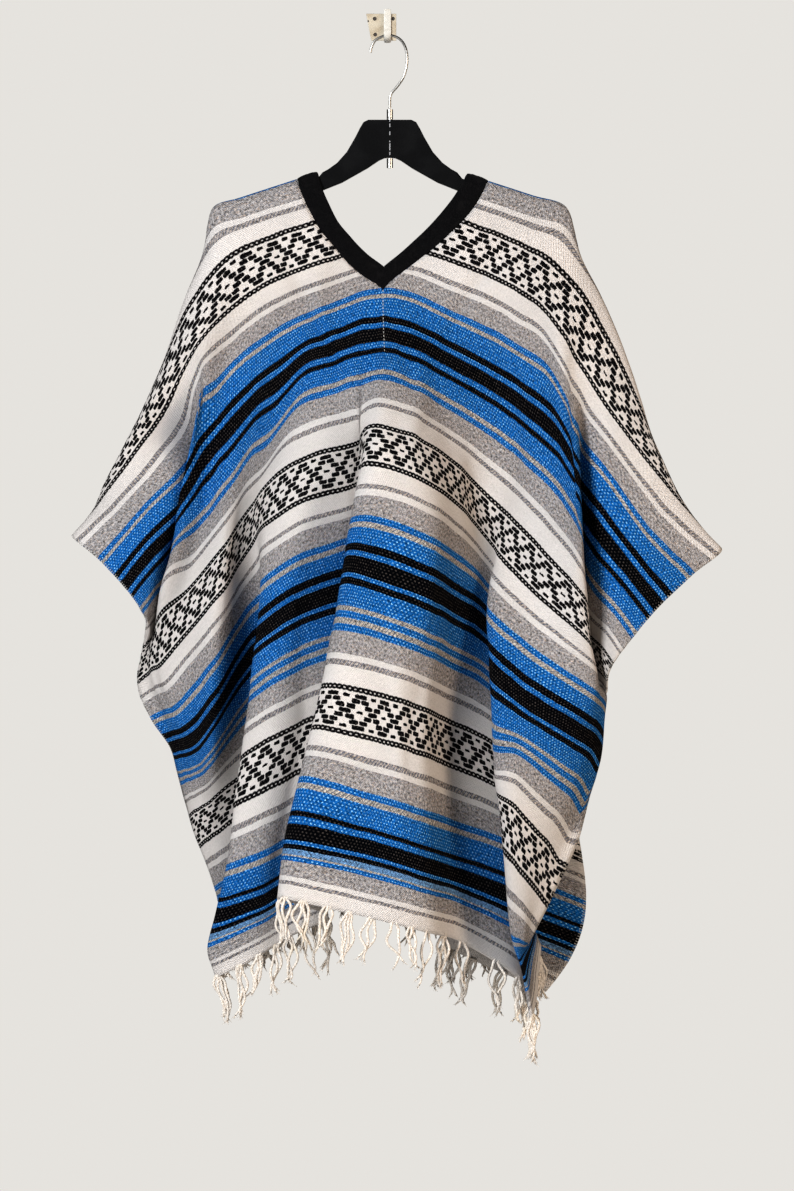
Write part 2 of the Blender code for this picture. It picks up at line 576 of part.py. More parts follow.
def make_prong(mat):
    """The prong: a bent strip, down the plate, out from the wall and up at its tip."""
    gap = SEAM_GAP
    back = PLATE_THICKNESS + gap + PRONG_THICKNESS / 2
    crook = WIRE_REST + PRONG_THICKNESS / 2
    path = ((back, -19.5), (back, crook - 7.0), (back + 2.0, crook - 2.0), (back + 7.0, crook),
            (HANGER_OUT - 2.0, crook), (HANGER_OUT + 4.0, crook - 1.0),
            (PRONG_REACH + 1.0, crook - 5.0), (PRONG_REACH + 2.5, crook - 12.0),
            (PRONG_REACH + 1.5, -12.0), (PRONG_REACH + 3.0, -20.0))
    bm = bmesh.new()
    rows = []
    for out, drop in path:
        rows.append([bm.verts.new(((PRONG_X + side * PRONG_WIDTH / 2) * MM, -out * MM, -drop * MM))
                     for side in (-1, 1)])
    grid_faces(bm, rows)
    mesh = bpy.data.meshes.new("prong")
    bm.to_mesh(mesh)
    bm.free()
    return add_sheet("prong", mat, mesh, PRONG_THICKNESS)


for old in list(bpy.data.objects):
    bpy.data.objects.remove(old, do_unlink=True)
collection = bpy.data.collections.new("serape_poncho_on_hanger")
bpy.context.scene.collection.children.link(collection)

WOVEN = material("striped_blanket_cloth", (0.62, 0.63, 0.66), 0.95)
FLEECE = material("black_fleece", (0.012, 0.012, 0.013), 0.95)
YARN = material("white_yarn", (0.80, 0.77, 0.70), 0.9)
PLASTIC = material("black_plastic", (0.012, 0.012, 0.013), 0.35)
STEEL = material("bright_steel", (0.75, 0.75, 0.74), 0.2, 1.0)
PAINT = material("cream_painted_steel", (0.82, 0.78, 0.68), 0.45)

make_blanket(WOVEN)
make_neck_band("neck_band_left", -1, FLEECE)
make_neck_band("neck_band_right", 1, FLEECE)
for stretch, (u_from, u_to) in FRINGE_STRETCHES.items():
    make_front_fringe(stretch, u_from, u_to, YARN)
make_back_fringe(YARN)
make_hanger(PLASTIC)
make_hook_wire(STEEL)
make_cylinder("upper_ferrule", HANGER_X, HANGER_OUT, FERRULE_TOP, FERRULE_BOTTOM,
              FERRULE_RADIUS, STEEL)
make_cylinder("lower_ferrule", HANGER_X, HANGER_OUT, ROD_TOP, ROD_BOTTOM, FERRULE_RADIUS, STEEL)
make_plate(PAINT)
make_prong(PAINT)
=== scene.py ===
import bpy
import math
import random
import numpy as np
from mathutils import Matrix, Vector


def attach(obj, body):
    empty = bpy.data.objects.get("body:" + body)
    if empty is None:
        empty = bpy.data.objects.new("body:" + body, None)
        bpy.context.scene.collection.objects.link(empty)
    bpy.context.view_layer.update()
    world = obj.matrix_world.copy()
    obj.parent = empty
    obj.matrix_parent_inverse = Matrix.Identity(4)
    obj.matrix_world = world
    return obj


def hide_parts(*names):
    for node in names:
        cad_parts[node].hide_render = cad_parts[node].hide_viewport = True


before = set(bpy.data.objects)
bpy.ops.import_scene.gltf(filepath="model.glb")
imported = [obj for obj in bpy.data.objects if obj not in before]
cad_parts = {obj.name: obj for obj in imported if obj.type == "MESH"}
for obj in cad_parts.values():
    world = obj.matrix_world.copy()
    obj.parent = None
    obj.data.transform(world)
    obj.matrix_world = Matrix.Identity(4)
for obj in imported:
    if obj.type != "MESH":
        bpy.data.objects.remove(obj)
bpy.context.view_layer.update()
print("frame loaded:", sorted(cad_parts))

# v runs along the warp from the shoulder fold (down the front is positive), u across from the
# middle; x is to the right, drop below the hook, out from the wall. All in millimetres.
blanket = {
    "halfWidth": 670.0, "halfLength": 960.0, "thickness": 2.6,
    "columnsPerHalf": 95, "frontRows": 146, "backRows": 100,
    "hangerX": 11.0, "hangerOut": 48.0, "armTop": 158.0, "armRun": 0.95, "armFall": 0.31,
    "armReach": 231.0, "wrap": 9.0, "neckDepth": 184.0,
    "backMiddle": 480.0, "backBulge": 40.0, "bulgeFrom": 450.0, "backLoss": (0.145, 0.065),
    "ripple": 1.3, "calmShoulder": 25.0, "calmFade": 60.0,
    "backRipple": 5.0, "backRippleFrom": 60.0, "backRippleFade": 200.0, "backRippleLength": 19.0,
    "edgeWidth": 12.0, "edgeWave": 1.2, "edgeWaveLength": 5.3,
}
neckEdgeRows = (                 # distance from the shoulder, opening to the left and the right
    (0.0, 123.0, 131.0),
    (50.0, 112.0, 112.0),
    (93.0, 95.0, 86.0),
    (140.0, 50.0, 45.0),
    (184.0, 0.0, 0.0),
)

# each fold from shoulder to hem: (v, u, x, drop, out)
frontFolds = {
    "left_selvedge": (
        (0, -670, -271, 667, 22), (93, -670, -364, 649, 45), (125, -670, -386, 643, 62),
        (184, -670, -352, 673, 88), (299, -670, -298, 738, 108), (375, -670, -291, 774, 84),
        (401, -670, -302, 803, 70), (492, -670, -289, 871, 62), (552, -670, -264, 907, 62),
        (627, -670, -252, 952, 60), (722, -670, -234, 1012, 70), (830, -670, -205, 1096, 62),
        (960, -670, -199, 1172, 45)),
    "left_wing_middle": (
        (0, -550, -262, 544, 28), (42, -555, -304, 558, 48), (93, -560, -346, 579, 62),
        (184, -585, -301, 614, 95), (299, -635, -290, 727, 106), (401, -652, -298, 799, 74),
        (552, -655, -259, 906, 70), (722, -658, -230, 1008, 78), (830, -655, -201, 1093, 66),
        (960, -655, -196, 1172, 48)),
    "left_wing_inner": (
        (0, -460, -250, 455, 34), (42, -469, -286, 484, 60), (93, -480, -315, 522, 76),
        (184, -505, -251, 561, 80), (299, -595, -280, 711, 84), (401, -634, -292, 794, 77),
        (552, -642, -254, 904, 78), (722, -646, -226, 1004, 86), (830, -640, -197, 1090, 68),
        (960, -640, -192, 1170, 50)),
    "left_side_valley": (
        (0, -370, -236, 366, 41), (42, -381, -264, 406, 66), (93, -395, -281, 466, 84),
        (184, -450, -231, 529, 40), (299, -565, -266, 692, 48), (401, -612, -288, 788, 80),
        (552, -630, -249, 903, 86), (722, -636, -222, 1002, 90), (830, -624, -192, 1087, 70),
        (960, -622, -188, 1168, 52)),
    "left_side_ridge": (
        (0, -285, -214, 283, 43), (42, -295, -234, 322, 70), (93, -305, -231, 379, 94),
        (184, -385, -228, 476, 96), (242, -450, -252, 602, 96), (299, -525, -261, 663, 98),
        (345, -565, -275, 713, 96), (401, -582, -280, 779, 86), (552, -612, -243, 901, 96),
        (722, -624, -218, 998, 94), (830, -606, -187, 1083, 72), (960, -600, -183, 1166, 54)),
    "left_back_face": (
        (0, -231), (93, -235, -183, 324, 90), (184, -320, -199, 443, 80),
        (299, -440, -223, 623, 86), (401, -494, -241, 736, 108), (552, -560, -226, 889, 110),
        (722, -606, -209, 992, 92), (830, -582, -180, 1079, 72), (960, -575, -176, 1164, 55)),
    "left_back_ridge": (
        (0, -200), (93, -185, -141, 299, 86), (184, -265, -168, 413, 84),
        (299, -375, -191, 584, 100), (401, -403, -196, 682, 136), (552, -505, -210, 866, 130),
        (722, -588, -199, 983, 84), (830, -552, -172, 1072, 70), (960, -540, -168, 1160, 55)),
    "left_gap_edge": (
        (0, -172), (93, -150, -114, 288, 84), (184, -215, -141, 394, 86),
        (299, -315, -164, 543, 92), (401, -350, -178, 651, 100), (552, -400, -161, 788, 66),
        (722, -545, -173, 969, 60), (830, -490, -150, 1060, 58), (960, -480, -149, 1150, 50)),
    "left_gap_depth": (
        (0, -150), (93, -120, -91, 281, 82), (184, -175, -118, 379, 86),
        (299, -250, -139, 524, 95), (401, -300, -159, 623, 86), (552, -345, -136, 773, 70),
        (722, -435, -129, 952, 56), (830, -400, -128, 1046, 64), (960, -380, -126, 1140, 70)),
    "left_front_ridge": (
        (0, -128), (93, -100, -71, 274, 80), (184, -130, -89, 366, 86),
        (299, -180, -101, 478, 108), (401, -230, -134, 597, 128), (552, -270, -154, 768, 136),
        (722, -296, -175, 946, 152), (830, -305, -194, 1071, 150), (875, -308, -204, 1114, 142),
        (910, -310, -215, 1154, 134), (960, -320, -205, 1191, 122)),
    "left_front_crest": (
        (0, -90), (93, -70, -47, 268, 76), (184, -85, -63, 356, 84), (299, -110, -58, 463, 118),
        (401, -152, -83, 568, 146), (552, -195, -114, 737, 158), (722, -236, -135, 923, 166),
        (830, -245, -149, 1054, 160), (960, -265, -164, 1172, 140)),
    "left_front_edge": (
        (0, -50), (93, -40, -26, 263, 73), (184, -45, -34, 344, 82), (299, -65, -31, 454, 125),
        (401, -92, -36, 556, 128), (552, -125, -66, 716, 138), (722, -180, -95, 903, 145),
        (830, -185, -120, 1039, 140), (960, -195, -114, 1142, 125)),
    "middle_fold_depth": (
        (0, -30), (93, -25, -14, 261, 72), (184, -25, -19, 339, 82), (299, -45, -21, 451, 128),
        (401, -62, -24, 549, 124), (552, -85, -39, 706, 128), (722, -115, -59, 889, 140),
        (830, -120, -74, 1011, 135), (960, -125, -66, 1117, 120)),
    "middle_fold_ridge": (
        (0, -12), (93, -12, -4, 259, 72), (184, -12, -6, 337, 82), (299, -28, -9, 448, 134),
        (401, -40, -19, 534, 166), (492, -45, -37, 627, 178), (552, -46, -45, 683, 186),
        (722, -52, -79, 857, 206), (830, -54, -104, 961, 212), (875, -55, -116, 1009, 213),
        (960, -56, -126, 1090, 214)),
    "right_front_face": (
        (0, 12), (93, 12, 20, 259, 72), (184, 10, 9, 336, 82), (299, 15, 14, 449, 138),
        (401, 25, 30, 541, 184), (552, 35, -4, 686, 206), (722, 38, -10, 866, 222),
        (875, 38, -29, 1023, 224), (960, 38, -45, 1106, 226)),
    "right_front_ridge": (
        (0, 50), (93, 45, 47, 262, 73), (184, 50, 38, 342, 80), (299, 55, 41, 459, 132),
        (401, 62, 49, 549, 180), (552, 90, 55, 708, 194), (722, 140, 54, 886, 198),
        (875, 160, 61, 1051, 200), (960, 165, 62, 1134, 198)),
    "right_front_flank": (
        (0, 110), (93, 95, 89, 273, 80), (184, 100, 74, 358, 80), (299, 120, 82, 481, 108),
        (401, 152, 94, 579, 122), (552, 180, 89, 727, 132), (722, 200, 76, 898, 132),
        (875, 212, 89, 1062, 140), (960, 215, 92, 1144, 145)),
    "right_gap_edge": (
        (0, 135), (93, 125, 118, 283, 82), (184, 165, 115, 377, 82), (299, 205, 136, 513, 92),
        (401, 250, 126, 613, 74), (552, 270, 129, 753, 76), (722, 288, 135, 925, 80),
        (830, 290, 150, 1039, 80), (960, 292, 155, 1183, 84)),
    "right_gap_depth": (
        (0, 160), (93, 165, 145, 294, 86), (184, 215, 145, 391, 84), (299, 255, 169, 538, 95),
        (401, 280, 143, 631, 72), (552, 335, 155, 786, 64), (722, 385, 179, 963, 62),
        (830, 410, 186, 1067, 62), (960, 430, 185, 1223, 50)),
    "right_side_fold": (
        (0, 190), (93, 205, 170, 307, 90), (184, 265, 174, 409, 87), (299, 290, 184, 552, 100),
        (401, 310, 155, 643, 78), (492, 350, 133, 731, 106), (552, 392, 136, 803, 132),
        (627, 440, 140, 904, 150), (722, 494, 148, 991, 166), (814, 562, 164, 1141, 160),
        (875, 575, 176, 1179, 158), (960, 580, 189, 1233, 150)),
    "right_side_face": (
        (0, 231), (93, 260, 203, 329, 93), (184, 325, 208, 433, 92), (299, 360, 224, 593, 120),
        (401, 380, 190, 681, 112), (552, 470, 174, 841, 152), (722, 545, 164, 1009, 174),
        (814, 595, 171, 1144, 158), (875, 605, 180, 1167, 140), (960, 605, 193, 1214, 118)),
    "right_side_ridge": (
        (0, 285, 243, 282, 43), (42, 294, 258, 318, 69), (93, 304, 230, 358, 94),
        (184, 400, 244, 503, 100), (299, 470, 251, 652, 128), (401, 505, 258, 756, 142),
        (492, 545, 264, 836, 135), (552, 575, 246, 886, 138), (722, 597, 186, 1038, 160),
        (814, 630, 178, 1148, 152), (875, 635, 185, 1154, 118), (960, 630, 196, 1192, 85)),
    "right_side_valley": (
        (0, 370, 268, 363, 38), (42, 375, 294, 386, 63), (93, 380, 270, 424, 84),
        (184, 440, 249, 519, 70), (299, 530, 251, 676, 62), (401, 570, 251, 779, 72),
        (492, 600, 273, 846, 105), (552, 618, 264, 899, 112), (722, 625, 198, 1051, 148),
        (814, 645, 180, 1149, 146), (875, 648, 188, 1147, 106), (960, 645, 198, 1179, 66)),
    "right_wing_inner": (
        (0, 460, 286, 452, 32), (42, 467, 322, 468, 57), (93, 475, 318, 502, 76),
        (184, 490, 274, 552, 84), (299, 585, 268, 711, 90), (401, 605, 264, 788, 92),
        (492, 630, 278, 852, 88), (552, 640, 270, 908, 92), (722, 643, 205, 1062, 140),
        (814, 655, 181, 1149, 142), (875, 657, 189, 1143, 100), (960, 655, 199, 1169, 54)),
    "right_wing_middle": (
        (0, 550, 298, 541, 28), (42, 557, 336, 550, 49), (93, 565, 361, 566, 66),
        (184, 580, 336, 637, 92), (299, 630, 293, 739, 112), (401, 640, 274, 798, 112),
        (492, 650, 280, 854, 78), (552, 655, 273, 914, 80), (722, 657, 211, 1071, 133),
        (814, 662, 183, 1151, 139), (875, 663, 190, 1141, 96), (960, 662, 200, 1162, 47)),
    "right_selvedge": (
        (0, 670, 301, 662, 22), (93, 670, 395, 657, 45), (125, 670, 425, 659, 62),
        (184, 670, 390, 691, 86), (242, 670, 346, 732, 108), (299, 670, 314, 769, 122),
        (401, 670, 284, 812, 126), (492, 670, 281, 857, 70), (552, 670, 274, 919, 68),
        (627, 670, 259, 973, 88), (660, 670, 248, 1016, 108), (722, 670, 219, 1078, 125),
        (814, 670, 184, 1149, 136), (875, 670, 191, 1138, 92), (960, 670, 200, 1156, 42)),
}

# u, then x and out half way down and at the hem
backPleats = (
    (-670.0, -255, 18, -190, 18), (-526.4, -126, 10, -88, 12), (-454.6, -186, 34, -156, 36),
    (-335.0, -72, 10, -44, 12), (-263.2, -126, 34, -108, 36),
    (-226.0, -90, 26, -73, 28), (-200.0, -65, 21, -49, 23),
    (-143.6, -12, 10, 4, 12), (-71.8, -62, 34, -60, 36), (55.8, 50, 10, 48, 12),
    (139.6, 0, 34, -10, 36), (200.0, 57, 21, 46, 23), (226.0, 82, 15, 70, 17),
    (251.3, 106, 10, 94, 12), (335.0, 56, 34, 36, 36), (446.7, 162, 10, 140, 12),
    (530.4, 112, 34, 82, 36), (670.0, 246, 24, 207, 28),
)


def bend(knots, t):  # smooth curve through (t, values...) rows
    last = len(knots) - 1
    i = 0
    while i < last - 1 and t > knots[i + 1][0]:
        i += 1
    span = knots[i + 1][0] - knots[i][0]
    s = (t - knots[i][0]) / span

    def slope(j, k):
        if j == 0 or j == last:
            a, b = (0, 1) if j == 0 else (last - 1, last)
            return (knots[b][k] - knots[a][k]) / (knots[b][0] - knots[a][0])
        before = (knots[j][k] - knots[j - 1][k]) / (knots[j][0] - knots[j - 1][0])
        after = (knots[j + 1][k] - knots[j][k]) / (knots[j + 1][0] - knots[j][0])
        weight = (knots[j + 1][0] - knots[j][0]) / (knots[j + 1][0] - knots[j - 1][0])
        return before * weight + after * (1.0 - weight)

    return [knots[i][k] * (2 * s**3 - 3 * s**2 + 1) + slope(i, k) * span * (s**3 - 2 * s**2 + s)
            + knots[i + 1][k] * (3 * s**2 - 2 * s**3) + slope(i + 1, k) * span * (s**3 - s**2)
            for k in range(1, len(knots[0]))]


def bendAcross(knots, places):  # the same curve for many places at once
    knots = np.array(knots, float)
    places = np.asarray(places, float)
    steps = np.diff(knots[:, 0])
    rates = np.diff(knots[:, 1:], axis=0) / steps[:, None]
    weight = (steps[1:] / (steps[1:] + steps[:-1]))[:, None]
    slopes = np.vstack([rates[:1], rates[:-1] * weight + rates[1:] * (1 - weight), rates[-1:]])
    i = np.clip(np.searchsorted(knots[:, 0], places, side="left") - 1, 0, len(steps) - 1)
    span = steps[i][:, None]
    s = ((places - knots[i, 0]) / steps[i])[:, None]
    return (knots[i, 1:] * (2 * s**3 - 3 * s**2 + 1) + slopes[i] * span * (s**3 - 2 * s**2 + s)
            + knots[i + 1, 1:] * (3 * s**2 - 2 * s**3) + slopes[i + 1] * span * (s**3 - s**2))


def armPoint(u):
    return (blanket["hangerX"] + blanket["armRun"] * u,
            blanket["armTop"] + blanket["armFall"] * abs(u))


wrap, wrapEnd = blanket["wrap"], blanket["wrap"] * math.pi / 2
foldCurves = []
for rows in frontFolds.values():
    if len(rows[0]) == 2:  # this fold starts on the hanger's arm
        x, drop = armPoint(rows[0][1])
        rows = ((wrapEnd, rows[0][1], x, drop + wrap, blanket["hangerOut"] + wrap),) + rows[1:]
    foldCurves.append(rows)


def frontNodes(v):
    nodes = []
    for rows in foldCurves:
        if v < rows[0][0]:
            u = rows[0][1]
            x, drop = armPoint(u)
            turn = v / wrap
            nodes.append((u, x, drop + wrap * (1 - math.cos(turn)),
                          blanket["hangerOut"] + wrap * math.sin(turn)))
        else:
            nodes.append(tuple(bend(rows, v)))
    return nodes


shoulderNodes = frontNodes(0.0)


def backNodes(w):
    nodes = []
    middle, length = blanket["backMiddle"], blanket["halfLength"]
    for u, xMiddle, outMiddle, xHem, outHem in backPleats:
        side = abs(u) > blanket["armReach"]
        xAnchor, dropAnchor = armPoint(math.copysign(min(abs(u), blanket["armReach"]), u))
        xTop, outTop, beside = xAnchor, blanket["hangerOut"] - wrap, 0.0
        if side:
            xTop, _, outTop = bend(shoulderNodes, u)
            beside = abs(u) - blanket["armReach"]
        elif w < wrapEnd:
            turn = w / wrap
            nodes.append((u, xTop, dropAnchor + wrap * (1 - math.cos(turn)),
                          blanket["hangerOut"] - wrap * math.sin(turn)))
            continue
        x, out = bend(((0.0 if side else wrapEnd, xTop, outTop), (middle, xMiddle, outMiddle),
                       (length, xHem, outHem)), w)
        if u > blanket["bulgeFrom"] and w > middle:
            reach = (u - blanket["bulgeFrom"]) / (blanket["halfWidth"] - blanket["bulgeFrom"])
            down = (w - middle) / (length - middle)
            x += blanket["backBulge"] * reach * math.sin(math.pi * down ** 2.2)
        left, right = blanket["backLoss"]
        loss = left + (right - left) * (u / blanket["halfWidth"] + 1) / 2
        fall = math.sqrt(max(math.hypot(beside, w) ** 2 - (x - xAnchor) ** 2, 0.0))
        fall += 0.0 if side else wrap - wrapEnd
        nodes.append((u, x, dropAnchor + fall * (1 - loss * w / length), out))
    return nodes


def clothRow(v, places):  # points of the cloth's middle at one v, as x, y, z in millimetres
    spots = bendAcross(frontNodes(v) if v >= 0 else backNodes(-v), places)
    return np.stack([spots[:, 0], -spots[:, 2], -spots[:, 1]], axis=1)


def neckEdge(v, side):
    if abs(v) >= blanket["neckDepth"]:
        return 0.0
    left, right = bend(neckEdgeRows, abs(v))
    return left if side < 0 else right


def soften(u, v):  # slow unevenness of a woollen cloth, from -1 to 1
    broad = np.sin(u / 31.0 + 1.7 * np.sin(v / 57.0))
    broad = broad * np.sin(v / 43.0 + 1.3 * np.sin(u / 71.0 + 2.0))
    fine = 0.6 * np.sin(u / 17.0 + v / 29.0 + 2.2 * np.sin(v / 91.0)) * np.sin(v / 23.0 - u / 37.0)
    return (broad + fine) / 1.6


# soft creases: u and v at each end, half width, height (negative is a trough)
creases = (
    (-190, 30, -60, 330, 14, 4.0),    # left shoulder pull
    (-120, 110, -40, 420, 16, -4.5),  # left chest trough
    (185, 40, 60, 330, 14, 3.5),      # right shoulder pull
    (130, 120, 30, 430, 16, -4.0),    # right chest trough
    (-8, 190, -55, 330, 10, 2.5),     # neck point pull left
    (8, 190, 60, 330, 10, 2.5),       # neck point pull right
    (-330, 60, -430, 330, 18, 5.0),   # left sleeve fold
    (330, 70, 440, 320, 18, 4.5),     # right sleeve fold
    (-150, 480, -210, 840, 13, 3.0),  # left skirt fold
    (110, 480, 120, 820, 15, 3.0),    # right skirt fold
    (70, 520, 95, 900, 12, -2.5),     # right skirt trough
)


def creaseHeight(u, v):
    height = np.zeros_like(u)
    for u0, v0, u1, v1, width, depth in creases:
        along = ((u - u0) * (u1 - u0) + (v - v0) * (v1 - v0)) / ((u1 - u0) ** 2 + (v1 - v0) ** 2)
        wander = 6.0 * np.sin(along * 5.0 + u0)
        away = ((u - u0) * (v1 - v0) - (v - v0) * (u1 - u0)) / math.hypot(u1 - u0, v1 - v0) + wander
        ends = np.clip(along * 4, 0, 1) * np.clip((1 - along) * 4, 0, 1)
        height += depth * np.exp(-(away / width) ** 2) * ends * ends * (3 - 2 * ends)
    return height


def addMesh(name, points, faces, uvs=None):
    mesh = bpy.data.meshes.new(name)
    mesh.from_pydata([tuple(p) for p in points], [], faces)
    if uvs is not None:
        layer = mesh.uv_layers.new(name="cloth")
        corner = np.empty(len(mesh.loops), dtype=np.int32)
        mesh.loops.foreach_get("vertex_index", corner)
        layer.data.foreach_set("uv", np.asarray(uvs, dtype=np.float32)[corner].ravel())
    mesh.shade_smooth()
    mesh.update()
    piece = bpy.data.objects.new(name, mesh)
    bpy.context.scene.collection.objects.link(piece)
    return piece


def pick(piece):
    bpy.ops.object.select_all(action="DESELECT")
    piece.select_set(True)
    bpy.context.view_layer.objects.active = piece


def switchMode(mode):
    bpy.ops.object.mode_set(mode=mode)


def applyAll(piece):
    pick(piece)
    for modifier in list(piece.modifiers):
        bpy.ops.object.modifier_apply(modifier=modifier.name)


def makeBlanket():
    half, length, depth = blanket["halfWidth"], blanket["halfLength"], blanket["neckDepth"]
    back = np.linspace(0, 1, blanket["backRows"]) * length
    front = np.linspace(0, 1, blanket["frontRows"]) * length
    levels = np.concatenate([-back[::-1][:-1], front])
    for knee in (-depth, depth, -5.0, 5.0):  # rows at the neck's points and by the shoulder fold
        levels[np.abs(levels - knee).argmin()] = knee
    share = np.linspace(0, 1, blanket["columnsPerHalf"] + 1)
    rows, flat, index, uvs = [], [], [], []
    count = 0
    for v in levels:
        left, right = neckEdge(v, -1), neckEdge(v, 1)
        places = np.concatenate([-(left + (half - left) * share[::-1]),
                                 right + (half - right) * share])
        if abs(v) >= depth:
            places = np.delete(places, len(share))
        ids = list(range(count, count + len(places)))
        count += len(places)
        index.append((ids[:len(share)], ids[-len(share):]))
        rows.append(clothRow(v, places))
        flat.append(np.stack([places, np.full(len(places), v)], axis=1))
    # normals by differences along the cloth, then the slow unevenness and the creases
    points = np.concatenate(rows)
    flat = np.concatenate(flat)
    step = 3.0
    normals = np.zeros_like(points)
    for ids, v in zip(index, levels):
        both = np.unique(np.array(ids[0] + ids[1]))
        places = flat[both, 0]
        across = clothRow(v, places + step) - clothRow(v, places - step)
        along = clothRow(min(v + step, length), places) - clothRow(max(v - step, -length), places)
        normal = np.cross(across, along)
        normals[both] = normal / np.maximum(np.linalg.norm(normal, axis=1), 1e-6)[:, None]
    u, v = flat[:, 0], flat[:, 1]
    away = np.clip((np.abs(v) - blanket["calmShoulder"]) / blanket["calmFade"], 0, 1)
    height = soften(u, v) * blanket["ripple"] + np.where(v > 0, creaseHeight(u, v), 0.0)
    points = points + normals * (height * away)[:, None]
    # the back's ripples run through all its pleats together, so that no two layers meet
    behind = np.clip((-v - blanket["backRippleFrom"]) / blanket["backRippleFade"], 0, 1)
    behind *= 0.35 + 0.65 * np.abs(points[:, 0]) / 270.0
    wave = np.sin(points[:, 2] / blanket["backRippleLength"] + 1.5 * np.sin(points[:, 0] / 60.0))
    points[:, 1] += behind * blanket["backRipple"] * wave
    edge = np.clip((np.abs(u) - half + blanket["edgeWidth"]) / blanket["edgeWidth"], 0, 1)
    points[:, 1] += edge * blanket["edgeWave"] * np.sin(v / blanket["edgeWaveLength"])
    faces = []
    for (leftA, rightA), (leftB, rightB) in zip(index, index[1:]):
        for above, below in ((leftA, leftB), (rightA, rightB)):
            for i in range(len(above) - 1):
                faces.append((above[i], below[i], below[i + 1], above[i + 1]))
    piece = addMesh("poncho_blanket", points / 1000, faces, flat / 1000)
    solid = piece.modifiers.new("thickness", "SOLIDIFY")
    solid.thickness = blanket["thickness"] / 1000
    solid.offset = 0.0
    applyAll(piece)
    return piece


# neck band: black fleece folded over the cut edge, mitred at the front and back point
band = {"width": 27.0, "plump": 2.5, "roundness": 0.55, "lumps": 0.10, "lumpLength": 6.0,
        "stations": 120, "ring": 20, "gap": -0.3, "inset": 0.01}


def bandEdges(side):
    depth = blanket["neckDepth"]
    levels = np.linspace(-depth, depth, band["stations"])
    outer = np.array([(neckEdge(v, side), v) for v in levels])
    outer[0, 0] = outer[-1, 0] = band["gap"]
    inner = []
    for i in range(len(outer)):
        a, b = outer[max(i - 1, 0)], outer[min(i + 1, len(outer) - 1)]
        along = (b - a) / np.linalg.norm(b - a)
        inner.append(outer[i] + np.array((-abs(along[1]), along[0])) * band["width"])
    inner = np.array(inner)
    mitre = band["width"] / math.sin(math.atan2(outer[-4, 0], outer[-1, 1] - outer[-4, 1]))
    inner[0], inner[-1] = (band["gap"], -depth + mitre), (band["gap"], depth - mitre)
    inner[:, 0] = np.maximum(inner[:, 0], band["gap"])
    inner[:, 1] = np.clip(inner[:, 1], -depth + mitre, depth - mitre)
    return outer, inner


def clothPoint(u, v):
    return clothRow(v, np.array([u]))[0]


def makeNeckBand(name, side):
    outer, inner = bandEdges(side)
    points, uvs = [], []
    ring, inset = band["ring"], band["inset"]
    for k in range(len(outer)):
        for j in range(ring):
            turn = 2 * math.pi * j / ring
            across = 0.5 - 0.5 * math.cos(turn)
            u, v = outer[k] + (inner[k] - outer[k]) * (inset + (1 - 2 * inset) * across)
            here = clothPoint(side * u, v)
            du = clothPoint(side * u + 2.0, v) - clothPoint(side * u - 2.0, v)
            dv = clothPoint(side * u, v + 2.0) - clothPoint(side * u, v - 2.0)
            normal = np.cross(du, dv)
            normal /= max(np.linalg.norm(normal), 1e-6)
            lift = math.copysign(abs(math.sin(turn)) ** band["roundness"], math.sin(turn))
            lift *= band["plump"]
            lift *= 1 + band["lumps"] * math.sin(outer[k][1] / band["lumpLength"] + across * 4)
            points.append((here - normal * lift) / 1000)
            uvs.append((across * band["width"] / 1000, outer[k][1] / 1000))
    faces = []
    for k in range(len(outer) - 1):
        for j in range(ring):
            n = (j + 1) % ring
            faces.append((k * ring + j, k * ring + n, (k + 1) * ring + n, (k + 1) * ring + j))
    faces.append(tuple(reversed(range(ring))))
    faces.append(tuple(range((len(outer) - 1) * ring, len(outer) * ring)))
    piece = addMesh(name, points, faces, uvs)
    pick(piece)
    switchMode("EDIT")
    bpy.ops.mesh.select_all(action="SELECT")
    bpy.ops.mesh.normals_make_consistent(inside=False)
    switchMode("OBJECT")
    piece.data.shade_smooth()
    return piece


# fringe: the warp ends, knotted in groups and hanging as loose two-ply yarns
# spaced: from and to along the hem, with a wider pitch. lowest and turnedUnder: where the yarns are
# shorter, by lowestShare and turnedShare
fringe = {
    "pitch": 27.0, "spaced": (180.0, 430.0, 44.0), "firstAt": 6.0, "lastAt": 3.0, "groupReach": 2.2,
    "length": 60.0, "thick": 2.1, "thin": 1.7, "twist": 8.5, "sides": 8, "rings": 30,
    "stiffness": 0.35, "weight": 1.4,
    "hairs": 5, "hairLength": 9.0, "hairThick": 0.5, "hairThin": 0.42,
    "turnedUnder": ((-672.0, -335.0), (585.0, 650.0)), "turnedShare": 0.42,
    "lowest": (400.0, 585.0), "lowestShare": 0.8,
}


